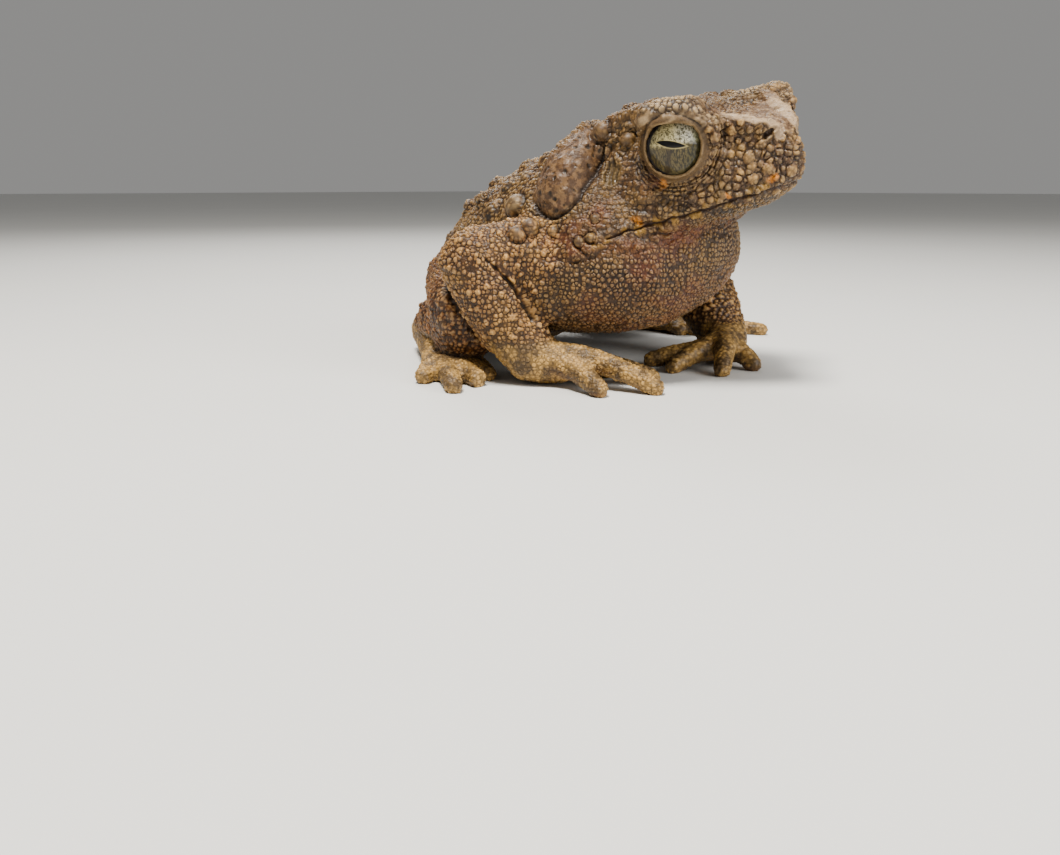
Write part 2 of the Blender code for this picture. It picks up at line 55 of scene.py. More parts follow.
EYES = ("eye_right", "eye_left")
SIDES = {"right": -1.0, "left": 1.0}

# Head pose in degrees, and the sizes shared with the solids
HEAD_YAW, HEAD_PITCH, HEAD_ROLL = -3.0, 2.7, 12.0
EYES_MID = Vector((114.5, -0.5, 97.7))
EYE_CENTRE = Vector((-2.0, -26.5, -1.0))
EYE_AXIS = Vector((0.47, -0.88, 0.0)).normalized()
EYE_RADIUS = 11.2
MOUTH_LINE = [(-22.0, -29.5), (-12.0, -27.0), (0.0, -25.5), (14.0, -23.2), (27.0, -21.3), (45.0, -20.5)]
NOSTRIL = (24.9, -8.9, -2.2)
GLAND_SINK = {"right": Vector((0.0, 0.0, 0.0)), "left": Vector((-4.0, -5.0, -5.0))}

# Soft forms that the skin adds to the flesh on each side, in head axes: runs of places with a radius
SNOUT_RIDGE = [
    (9.0, -18.7, 5.0, 1.8),
    (13.2, -15.7, 4.8, 1.9),
    (18.0, -11.8, 3.3, 1.8),
    (21.9, -8.8, 2.0, 1.8),
    (24.6, -6.4, 0.7, 1.7),
    (26.3, -5.0, -1.4, 1.5),
    (26.2, -5.2, -3.8, 1.2),
]
BROW = [
    (-8.0, -33.5, 9.2, 2.0),
    (-3.0, -35.9, 9.8, 2.5),
    (1.5, -35.2, 9.8, 2.6),
    (6.8, -32.4, 8.7, 2.4),
    (10.8, -28.0, 6.8, 2.2),
    (10.8, -22.0, 4.3, 1.8),
]
LID_FRONT = [
    (8.6, -30.6, 7.6, 2.2),
    (12.4, -26.2, 5.0, 2.0),
    (13.2, -24.6, 1.8, 1.9),
    (13.0, -23.6, -1.5, 1.4),
]
CROWN = [
    (-35.0, -2.0, 9.6, 3.4),
    (-22.0, -10.0, 9.8, 3.2),
]
GLAND = [
    (-40.4, -32.1, 0.8, 7.8),
    (-43.4, -38.8, -7.7, 11.0),
    (-45.2, -42.0, -12.9, 12.0),
]

# Soft chest that meets the right arm, in the modelling frame
CHEST = [
    [(66.0, -47.0, 52.0, 6.5), (78.0, -41.0, 51.0, 6.5)],
    [(57.0, -53.8, 48.0, 6.5), (75.0, -43.5, 46.0, 6.5)],
    [(58.5, -52.0, 41.0, 6.5), (73.0, -42.5, 40.0, 6.5)],
    [(60.0, -50.0, 35.5, 6.0), (72.0, -42.0, 35.0, 6.0)],
    [(62.5, -47.0, 30.0, 5.5), (70.0, -42.0, 30.0, 5.5)],
]
ARM_EDGE = [
    (54.8, -66.7, 49.7, -0.7),
    (58.0, -63.6, 45.6, -0.2),
    (59.8, -60.6, 42.1, 0.0),
    (62.2, -58.1, 37.5, 0.0),
    (64.5, -55.4, 32.8, 0.0),
    (66.4, -52.4, 26.8, 0.0),
]
ARM_FRONT = (0.72, 0.69, 0.0)

# Creases in millimetres between parts, and how much of each is there where the flesh makes no valley
FOLDS = [
    (("upper_arm",), ("torso", "head"), 2.2, 0.1),
    (("forearm",), ("torso",), 2.0, 0.0),
    (("forearm",), ("upper_arm",), 0.7, 0.0),
    (("thigh", "shank", "foot"), ("torso",), 1.8, 0.0),
    (("shank", "foot"), ("thigh",), 1.8, 0.1),
    (("foot",), ("shank",), 1.0, 0.0),
    (("forearm", "upper_arm"), ("thigh", "shank"), 1.8, 0.2),
]

# Single large warts on each side in head axes: place, radius and height
BIG_WARTS = [
    (-65.3, -50.8, -15.2, 4.9, 2.8),
    (-52.1, -64.2, -23.2, 3.6, 2.2),
    (-48.6, -60.8, -21.8, 3.4, 2.2),
    (-31.0, -53.6, -29.1, 2.0, 1.6),
    (-27.5, -51.0, -28.3, 1.9, 1.6),
    (-27.0, -47.5, -22.0, 1.8, 1.1),
    (-32.4, -31.3, 7.0, 3.8, 1.8),
    (-32.1, -31.2, 0.2, 3.4, 1.6),
    (-21.5, -29.9, 3.8, 3.2, 1.3),
    (-41.9, -55.5, -24.3, 2.2, 1.2),
]

# Stains on each side in head axes: place and radius
RED_PATCHES = [
    (-32.6, -53.9, -26.8, 6.0),
    (-25.2, -45.6, -21.1, 4.0),
    (-5.4, -27.6, -34.2, 8.0),
    (-11.6, -41.1, -40.5, 6.0),
    (-10.5, -33.6, -13.6, 3.0),
    (-44.0, -56.0, -30.0, 6.0),
]
ORANGE_SPOTS = [
    (-14.4, -37.9, -25.3, 2.4),
    (-34.9, -35.2, -0.9, 1.2),
    (-30.2, -37.5, -5.5, 1.0),
    (-5.6, -31.6, -12.8, 2.2),
    (24.9, -8.8, -17.8, 1.3),
    (13.0, -20.3, -21.1, 1.5),
]

# Camera: place, heading and tilt in degrees, focal length in pixels of a frame 1060 wide
CAMERA_PLACE = Vector((306.83, -306.69, 76.93))
CAMERA_HEADING, CAMERA_TILT = 133.65, -15.02
CAMERA_FOCAL = 900.0
FRAME_WIDTH = 1060.0
SENSOR_WIDTH = 36.0

# How much each solid grows so that neighbours fuse, and the first mesh's cell size
GROW = 0.28
VOXEL = 1.09
BALL_STEP = 0.3

# How far the near side of the head's top is raised, and its far side lowered
NEAR_RISE, FAR_DROP = 1.7, 2.4

# Distances between neighbouring grains of each kind
WART_SPACING = 10.5
CHEEK_LUMP_SPACING = 6.0
LARGE_PEBBLE_SPACING = 5.0
TUBERCLE_SPACING = 3.6
PEBBLE_SPACING = 2.7
PIT_SPACING = 2.6
BROW_BEAD_SPACING = 2.1
GRANULE_SPACING = 1.75
FINE_GRAIN_SPACING = 1.05

# Heights of the relief: one number, or one for each region of the skin
WART_HEIGHT = 1.5
TUBERCLE_HEIGHT = {"limb": 0.9, "back": 0.45, "belly": 0.35}
LORE_PEBBLE_HEIGHT, CHEEK_PEBBLE_HEIGHT = 1.3, 0.45
CHEEK_LUMP_HEIGHT = 1.6
BROW_BEAD_HEIGHT = 0.8
GRANULE_HEIGHT = 0.5
GRANULE_CHANGE = {"belly": 0.1, "lore": -0.3, "cheek": -0.25, "digits": -0.2, "hood": -0.4}
FINE_GRAIN_HEIGHT = 0.13
RING_HEIGHT = 0.22
WRINKLE_HEIGHT = {"snout": 0.6, "brow": 0.3}
SNOUT_LUMP_HEIGHT = 0.7
SWELL_HEIGHT = 0.45
PIT_DEPTH = 0.35
LID_GROOVE_DEPTH = 0.9
MOUTH_DEPTH = 0.8
NOSTRIL_DEPTH = 1.5

# How smooth each region is, so that granules are left out there
BARE = {"lid": 1.0, "brow": 1.0, "snout": 0.75, "canthus_highlight": 1.0, "gland": 0.9, "ear": 0.8}


HEAD_TURN = (
    Matrix.Rotation(math.radians(HEAD_YAW), 3, "Z")
    @ Matrix.Rotation(math.radians(-HEAD_PITCH), 3, "Y")
    @ Matrix.Rotation(math.radians(HEAD_ROLL), 3, "X")
)


def from_head(point, side="right"):
    """A place in head axes, given for the right side, in the modelling frame."""
    x, y, z = point
    return EYES_MID + HEAD_TURN @ Vector((x, -SIDES[side] * y, z))


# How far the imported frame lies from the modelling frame
SHIFT = sum(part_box("eye_right"), Vector()) / 2 / MM - from_head(EYE_CENTRE)


# Noise that numpy works out at every point of the skin

CELL_FACTORS = (73856093, 19349663, 83492791)
SEED_FACTOR = 2654435761
MIXERS = (1274126177, 668265263, 374761393)
LOW_BITS = 0x7FFFFFFF
SHORT_BITS = 0xFFFF
FAR_OFF = 9.0
SPREAD = 0.8


def hashed(cells, seed):
    """Three numbers from 0 to 1 for each whole-numbered cell."""
    x, y, z = (column * factor for column, factor in zip(cells.astype(np.int64).T, CELL_FACTORS))
    h = (x ^ y ^ z ^ (seed * SEED_FACTOR)) & LOW_BITS
    out = []
    for mixer in MIXERS:
        h = (h ^ (h >> 15)) * mixer & LOW_BITS
        out.append(((h >> 7) & SHORT_BITS) / SHORT_BITS)
    return np.stack(out, 1)


def pebbles(points, size, seed, jitter=SPREAD):
    """Distances in cells to the nearest and next seeds of a jittered lattice, and the nearest's number."""
    p = points / size
    base = np.floor(p)
    first = np.full(len(p), FAR_OFF)
    second = np.full(len(p), FAR_OFF)
    which = np.zeros(len(p))
    for step in itertools.product((-1, 0, 1), repeat=3):
        cell = base + step
        rnd = hashed(cell, seed)
        gap = cell + 0.5 + (rnd - 0.5) * jitter - p
        d = np.einsum("ij,ij->i", gap, gap)
        near = d < first
        second = np.where(near, first, np.minimum(second, d))
        first[near] = d[near]
        which[near] = rnd[near, 0]
    return np.sqrt(first), np.sqrt(second), which


def pebbles_on(here, points, size, seed, jitter=SPREAD):
    """Pebbles worked out only where a region's value isn't nothing."""
    chosen = here > 0.02
    found = np.full(len(points), FAR_OFF), np.full(len(points), FAR_OFF), np.zeros(len(points))
    for whole, part in zip(found, pebbles(points[chosen], size, seed, jitter)):
        whole[chosen] = part
    return found


def noise(points, size, seed):
    """Smooth value noise from -1 to 1."""
    p = points / size
    base = np.floor(p)
    f = p - base
    f = f * f * (3.0 - 2.0 * f)
    total = np.zeros(len(p))
    for corner in itertools.product((0, 1), repeat=3):
        a, b, c = (f[:, i] if far else 1 - f[:, i] for i, far in enumerate(corner))
        total += a * b * c * hashed(base + corner, seed)[:, 0]
    return total * 2.0 - 1.0


def unit(x):
    """The values, kept from 0 to 1."""
    return np.clip(x, 0.0, 1.0)


def ramp(x, start, end):
    """From 0 at the start smoothly to 1 at the end, which may be the lower of the two."""
    t = unit((x - start) / (end - start))
    return t * t * (3.0 - 2.0 * t)


def bell(x, width):
    return np.exp(-((x / width) ** 2))


def distance(points, centre):
    return np.linalg.norm(points - np.array(centre), axis=1)


def line_distance(points, run):
    """The distance from each point to the surface of a run of places, each with a radius."""
    places, radii = np.array(run)[:, :3], np.array(run)[:, 3]
    best = np.full(len(points), 1e9)
    for i, step in enumerate(places[1:] - places[:-1]):
        t = unit((points - places[i]) @ step / (step @ step))
        off = np.linalg.norm(points - places[i] - t[:, None] * step, axis=1)
        best = np.minimum(best, off - radii[i] - t * (radii[i + 1] - radii[i]))
    return best


def mirrored(q, side):
    """Places in head axes, mirrored for the left side."""
    return q * (1.0, -SIDES[side], 1.0)


def both_sides(q, run):
    """The distance to a run in head axes or to its mirror image, whichever is less."""
    return np.minimum.reduce([line_distance(mirrored(q, side), run) for side in SIDES])


def gland_run(side):
    """The places and radii of one gland's form in the modelling frame."""
    return [(*(from_head(place, side) + GLAND_SINK[side]), radius) for *place, radius in GLAND]


# Reading and writing meshes as arrays


def new_object(name, data):
    obj = bpy.data.objects.new(name, data)
    bpy.context.scene.collection.objects.link(obj)
    return obj


def apply_modifiers(obj):
    graph = bpy.context.evaluated_depsgraph_get()
    mesh = bpy.data.meshes.new_from_object(obj.evaluated_get(graph))
    obj.modifiers.clear()
    obj.data = mesh


def read_array(items, key, width, kind=float):
    """One property of all vertices, edges or triangles, a row for each."""
    values = np.empty(len(items) * width, kind)
    items.foreach_get(key, values)
    return values.reshape(-1, width)


def coordinates(mesh):
    return read_array(mesh.vertices, "co", 3)


def normals(mesh):
    return read_array(mesh.vertex_normals, "vector", 3)


def edges(mesh):
    return read_array(mesh.edges, "vertices", 2, np.int32)


def triangles(mesh):
    mesh.calc_loop_triangles()
    return read_array(mesh.loop_triangles, "vertices", 3, np.int32)


def set_places(mesh, co):
    mesh.vertices.foreach_set("co", co.ravel())


def finish_mesh(mesh, co, material):
    """Gives a mesh its last vertex places, smooth shading and material."""
    set_places(mesh, co)
    mesh.polygons.foreach_set("use_smooth", np.ones(len(mesh.polygons), bool))
    mesh.update()
    mesh.materials.append(material)


def mesh_of(co, faces):
    mesh = bpy.data.meshes.new("skin")
    mesh.vertices.add(len(co))
    set_places(mesh, co)
    mesh.loops.add(faces.size)
    mesh.loops.foreach_set("vertex_index", faces.ravel())
    mesh.polygons.add(len(faces))
    mesh.polygons.foreach_set("loop_start", np.arange(0, faces.size, 3))
    mesh.update(calc_edges=True)
    return mesh


def add_values(mesh, name, values):
    layer = mesh.attributes.new(name, "FLOAT", "POINT")
    layer.data.foreach_set("value", values.astype(np.float32))


def read_values(mesh, name):
    return read_array(mesh.attributes[name].data, "value", 1, np.float32)[:, 0].astype(float)


def neighbour_mean(values, links):
    """The mean of each vertex's neighbours."""
    ends, others = links.T.ravel(), links[:, ::-1].T.ravel()
    count = np.maximum(np.bincount(ends, minlength=len(values)), 1)
    columns = values.reshape(len(values), -1).T
    means = [np.bincount(ends, column[others], len(values)) / count for column in columns]
    return np.stack(means, 1).reshape(values.shape)


def relax(co, links, rounds, weight):
    """Smooths without shrinking, by a weight at each vertex."""
    for _ in range(rounds):
        for step in (0.5, -0.53):
            co = co + (neighbour_mean(co, links) - co) * (step * weight[:, None])
    return co


def blurred(values, links, rounds):
    for _ in range(rounds):
        values = (values + neighbour_mean(values, links)) / 2
    return values


def to_model(co):
    """Vertex places in millimetres in the modelling frame."""
    return co / MM - np.array(SHIFT)


def to_head(co):
    """Vertex places in millimetres in the head's axes."""
    return (to_model(co) - np.array(EYES_MID)) @ np.array(HEAD_TURN)


# The skin's smooth base


def add_run(bm, run):
    """Balls along a run of places in the modelling frame."""
    for (*a, first), (*b, last) in zip(run, run[1:]):
        a, b = Vector(a), Vector(b)
        steps = math.ceil((b - a).length / (BALL_STEP * min(first, last)))
        for i in range(steps + 1):
            t = i / steps
            place = Matrix.Translation((a.lerp(b, t) + SHIFT) * MM)
            radius = (first + t * (last - first)) * MM
            bmesh.ops.create_icosphere(bm, subdivisions=2, radius=radius, matrix=place)


def flesh_nodes():
    return [(name, node) for name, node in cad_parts.items() if name not in EYES]


def grown_copy(name, node):
    """A copy of a solid's mesh, moved out along its normals."""
    part = bmesh.new()
    part.from_mesh(node.data)
    bmesh.ops.remove_doubles(part, verts=part.verts, dist=1e-6)
    bmesh.ops.recalc_face_normals(part, faces=part.faces)
    part.normal_update()
    for v in part.verts:
        v.co += v.normal * GROW * MM
    mesh = bpy.data.meshes.new(name)
    part.to_mesh(mesh)
    part.free()
    return mesh


def flesh():
    """Copies of all flesh nodes as one object, grown so that they overlap, with the soft forms."""
    bm = bmesh.new()
    for side in SIDES:
        for run in (SNOUT_RIDGE, BROW, LID_FRONT, CROWN):
            add_run(bm, [(*from_head(place, side), radius) for *place, radius in run])
        add_run(bm, gland_run(side))
    for run in CHEST:
        add_run(bm, run)
    for name, node in flesh_nodes():
        mesh = grown_copy(name, node)
        bm.from_mesh(mesh)
        bpy.data.meshes.remove(mesh)
    mesh = bpy.data.meshes.new("skin")
    bm.to_mesh(mesh)
    bm.free()
    return new_object("skin", mesh)


def drop_scraps(obj):
    """Keeps only the surface with the most vertices, so no hollow or scrap stays inside."""
    mesh = obj.data
    links = edges(mesh)
    label = np.arange(len(mesh.vertices))
    while True:
        lower = label.copy()
        np.minimum.at(lower, links[:, 0], label[links[:, 1]])
        np.minimum.at(lower, links[:, 1], label[links[:, 0]])
        lower = lower[lower]
        if (lower == label).all():
            break
        label = lower
    keep = label == np.bincount(label).argmax()
    faces = triangles(mesh)
    faces = faces[keep[faces[:, 0]]]
    order = np.cumsum(keep) - 1
    obj.data = mesh_of(coordinates(mesh)[keep], order[faces].astype(np.int32))


def owners(co):
    """The name of the flesh node nearest to each vertex."""
    points, faces, names = [], [], []
    for name, node in flesh_nodes():
        faces += [[len(points) + i for i in polygon.vertices] for polygon in node.data.polygons]
        names += [name] * len(node.data.polygons)
        points += [v.co for v in node.data.vertices]
    tree = BVHTree.FromPolygons(points, faces)
    return np.array([names[tree.find_nearest(c)[2]] for c in co.tolist()])


def is_part(owner, *parts):
    return np.isin(np.char.rpartition(owner, "_")[:, 0], parts) | np.isin(owner, parts)


def fold_depths(owner, co, no, links):
    """Creases in millimetres where limbs fold against the body or each other."""
    valley = np.einsum("ij,ij->i", blurred(co, links, 10) - co, no) / MM
    deep = ramp(valley, 0.02, 0.22)
    depth = np.zeros(len(co))
    for parts, others, size, everywhere in FOLDS:
        a, b = is_part(owner, *parts), is_part(owner, *others)
        across = (a[links[:, 0]] & b[links[:, 1]]) | (a[links[:, 1]] & b[links[:, 0]])
        line = np.zeros(len(co))
        line[links[across].ravel()] = size
        depth = np.maximum(depth, line * np.maximum(deep, everywhere))
    p = to_model(co)
    for run in CHEST:
        depth *= ramp(line_distance(p, run), 1.5, 5.0)
    return depth


def keep_detail(head):
    """Where small forms are kept: at the eyes, nostrils, snout ridges and brows."""
    keep = np.zeros(len(head))
    for side in SIDES:
        keep = np.maximum(keep, ramp(distance(mirrored(head, side), EYE_CENTRE), 18.0, 13.5))
        keep = np.maximum(keep, ramp(distance(mirrored(head, side), NOSTRIL), 5.0, 2.5))
    ridges = np.minimum(both_sides(head, SNOUT_RIDGE), both_sides(head, BROW))
    return np.maximum(keep, 0.85 * ramp(ridges, 2.5, 0.8))


def split_faces(mesh, chosen):
    """Splits each triangle in four where its corners are chosen, and in two next to those."""
    co, faces = coordinates(mesh), triangles(mesh)
    pairs = np.sort(faces[:, [[0, 1], [1, 2], [2, 0]]], axis=2).astype(np.int64)
    marked = chosen[pairs].all(2)
    key = pairs[:, :, 0] * len(co) + pairs[:, :, 1]
    used = np.unique(key[marked])
    ends = np.stack([used // len(co), used % len(co)], 1)
    middle = np.searchsorted(used, key) + len(co)
    whole, single = marked.all(1), marked.sum(1) == 1
    a, b, c = faces[whole].T
    ab, bc, ca = middle[whole].T
    parts = [faces[~marked.any(1)].T, (a, ab, ca), (b, bc, ab), (c, ca, bc), (ab, bc, ca)]
    for side in range(3):
        row = single & marked[:, side]
        a, b, c = (faces[row, (side + i) % 3] for i in range(3))
        half = middle[row, side]
        parts += [(a, half, c), (half, b, c)]
    places = np.concatenate([co, co[ends].mean(1)])
    finer = mesh_of(places, np.concatenate(parts, 1).T.astype(np.int32))
    for name in CARRIED:
        value = read_values(mesh, name)
        add_values(finer, name, np.concatenate([value, value[ends].mean(1)]))
    return finer


# Which solids each region of the skin comes from
MASKS = {
    "head": ("head", "lower_jaw"),
    "ear": ("tympanum",),
    "digits": ("hand", "foot"),
    "arm": ("upper_arm", "forearm"),
    "leg": ("thigh", "shank"),
}
# Values that the finer meshes take over
CARRIED = ("fold", *MASKS)


def smooth_and_mark(mesh):
    """Smooths the fused flesh, and notes its regions and folds as values."""
    co, no, links = coordinates(mesh), normals(mesh), edges(mesh)
    owner = owners(co)
    folds = blurred(fold_depths(owner, co, no, links), links, 1)
    keep = keep_detail(to_head(co))
    co = relax(co, links, 5, np.ones(len(co)))
    set_places(mesh, relax(co, links, 22, unit(1.0 - keep - 0.6 * folds)))
    add_values(mesh, "fold", folds)
    for name, parts in MASKS.items():
        rounds = 3 if name == "ear" else 8
        add_values(mesh, name, blurred(is_part(owner, *parts).astype(float), links, rounds))


def finest_places(mesh):
    """Which vertices lie on the face, the near arm, the chest or the near knee."""
    x, y, z = to_model(coordinates(mesh)).T
    near_arm = (read_values(mesh, "arm") + read_values(mesh, "digits") > 0.5) & (x > 20.0) & (y < 0.0)
    chest = (x > 55.0) & (y < 12.0) & (z > 14.0)
    facing = normals(mesh) @ (0.69, -0.72, 0.1) > 0.0
    knee = (x < 22.0) & (y < -25.0) & (z > 3.0) & facing
    x, y, z = to_head(coordinates(mesh)).T
    near_face = (x > -52.0) & (y < 12.0) & (z > -40.0)
    far_face = (x > -26.0) & (z > -24.0)
    return near_face | far_face | near_arm | chest | knee


def base_skin():
    """The fused flesh as one smooth surface, with its regions and folds as values."""
    skin = flesh()
    remesh = skin.modifiers.new("fuse", "REMESH")
    remesh.mode = "VOXEL"
    remesh.voxel_size = VOXEL * MM
    apply_modifiers(skin)
    drop_scraps(skin)
    coarse = skin.data
    smooth_and_mark(coarse)
    finer = split_faces(coarse, np.ones(len(coarse.vertices), bool))
    finest = split_faces(finer, finest_places(finer))
    skin.data = finest
    bpy.data.meshes.remove(coarse)
    bpy.data.meshes.remove(finer)
    co = coordinates(finest)
    set_places(finest, relax(co, edges(finest), 3, np.ones(len(co))))
    finest.update()
    return skin


# The skin's relief


def eye_frame(q, side):
    """How far each point lies along the eye's axis, and how far from the axis."""
    away = mirrored(q, side) - np.array(EYE_CENTRE)
    axis = np.array(EYE_AXIS)
    ahead = away @ axis
    return ahead, np.linalg.norm(away - ahead[:, None] * axis, axis=1)


def bead(first, second, radius=0.66, groove=0.34):
    """A round pebble that fills its cell, with a narrow groove about it."""
    return ramp(second - first, 0.0, groove) * knob(first, radius)


def knob(first, radius):
    return np.sqrt(unit(1.0 - (first / radius) ** 2))


def weighed(r, weights):
    """The sum of regions, each times its weight."""
    return sum(weight * getattr(r, name) for name, weight in weights.items())


class Regions:
    """The parts of the skin, each as values from 0 to 1."""

    def __init__(self, mesh, p, q, no):
        for name in CARRIED:
            setattr(self, name, read_values(mesh, name))
        self.gland_gap = np.minimum.reduce([line_distance(p, gland_run(side)) for side in SIDES])
        self.gland = ramp(self.gland_gap, 1.4, 0.2)
        self.gland_front = ramp(0.6 * q[:, 0] - 0.8 * q[:, 2], -24.5, -17.5)
        upward = (no @ np.array(HEAD_TURN))[:, 2]
        self.find_eyes(q, upward)
        self.find_face(q, upward)
        self.find_body(p, q, no)
        self.bare = unit(weighed(self, BARE))

    def find_eyes(self, q, upward):
        """The eyelids with their pale edges, partly a painted highlight, the grooves over and rings under
        them, and the brows.
        """
        above = q[:, 2] - EYE_CENTRE.z
        self.off = np.full(len(q), 1e9)
        found = []
        for side in SIDES:
            ahead, off = eye_frame(q, side)
            self.off = np.minimum(self.off, off)
            front = ramp(ahead, 0.0, 3.0)
            lid = ramp(off, 12.6, 11.6) * front * ramp(above, 9.0, 7.0)
            # The lid's edge, painted paler, partly as a highlight
            rim = lid * ramp(off, 10.9, 10.4)
            # The groove over each lid is sunk and also gets painted shade, as under the brow's roll
            groove = bell(off - 11.7, 0.7) * ramp(above, 3.0, 6.0) * front
            hood = ramp(above, 6.5, 9.5) * ramp(off, 17.0, 14.0) * ramp(ahead, -15.0, -5.0)
            rings = ramp(off, 11.8, 12.6) * ramp(off, 20.0, 15.5) * (ahead > -4.0)
            rings = rings * ramp(above, 7.0, 2.0)
            found.append((lid, rim, groove, hood, rings))
        self.lid, self.rim, self.groove, self.hood, self.rings = np.maximum(*found)
        roll = self.head * ramp(both_sides(q, BROW), 1.6, 0.5) * (above > 2.0)
        brow = np.maximum(self.hood, roll)
        crest = ramp(upward, 0.4, 0.8)
        self.brow = brow * (1.0 - crest)
        self.hood = brow * crest

    def find_face(self, q, upward):
        """The snout's ridges, top and sides, the cheeks, and how far the head's top is raised."""
        x, y, z = q.T
        under_hood = 1.0 - self.hood
        self.ridge = both_sides(q, SNOUT_RIDGE)
        # The ridge along the snout's sides, coloured as its paler skin with a painted highlight
        self.canthus_highlight = self.head * ramp(self.ridge, 1.3, 0.3) * under_hood
        self.snout = self.head * ramp(x, 4.0, 9.0) * ramp(upward, 0.45, 0.8) * under_hood
        self.snout *= np.abs(y) < 19.0
        self.lore = self.head * ramp(x, -2.0, 6.0) * (1.0 - self.snout) * ramp(z, -26.0, -22.0)
        self.lore *= (1.0 - self.canthus_highlight) * under_hood * ramp(self.off, 12.0, 13.2) * (1.0 - self.brow)
        self.cheek = self.head * ramp(x, 2.0, -8.0) * under_hood * (1.0 - self.lid)
        self.cheek *= (1.0 - self.gland) * (1.0 - self.ear) * (1.0 - self.brow)
        self.folds = self.cheek * ramp(upward, 0.55, 0.1)
        near = NEAR_RISE * ramp(-y, 2.0, 10.0) * ramp(x, -36.0, -28.0)
        far = FAR_DROP * ramp(y, 12.0, 18.0) * ramp(x, -22.0, -14.0) * (1.0 - 0.5 * ramp(x, 0.0, 6.0))
        self.rise = self.head * ramp(z, 8.5, 12.5) * (near - far)

    def find_body(self, p, q, no):
        """The throat with the chest's underside, the back, the belly and the limbs."""
        under = ramp(-no[:, 2], -0.2, 0.45) * (1.0 - self.head)
        self.throat = under * ramp(p[:, 0], 60.0, 90.0) + self.head * ramp(q[:, 2], -28.0, -34.0)
        trunk = unit(1.0 - self.head - self.arm - self.leg - self.digits - self.gland)
        self.back = trunk * ramp(no[:, 2], -0.1, 0.45) * ramp(p[:, 0], 104.0, 92.0)
        self.belly = trunk * (1.0 - self.back)
        self.limb = unit(self.arm + self.leg)


def mouth_shape(q, head):
    """The distance to the line of the mouth, and how far above it each point lies."""
    xs, zs = zip(*MOUTH_LINE)
    wavy = q[:, 2] + 0.5 * noise(q, 3.5, 91) + 0.25 * noise(q, 1.4, 92)
    above = wavy - np.interp(q[:, 0], xs, zs)
    past = np.maximum(xs[0] - q[:, 0], 0.0)
    return np.where(head > 0.3, np.hypot(above, past), 99.0), above


def nostril_shape(q):
    """The distance from the nostril's middle in parts of its size; it slants up to the snout."""
    near = np.stack([q[:, 0] - NOSTRIL[0], np.abs(q[:, 1]) + NOSTRIL[1], q[:, 2] - NOSTRIL[2]], 1)
    slant = math.radians(40.0)
    long = near[:, 0] * math.cos(slant) + near[:, 2] * math.sin(slant)
    short = near[:, 2] * math.cos(slant) - near[:, 0] * math.sin(slant)
    return np.sqrt((long / 2.5) ** 2 + (short / 0.95) ** 2 + (near[:, 1] / 2.8) ** 2)


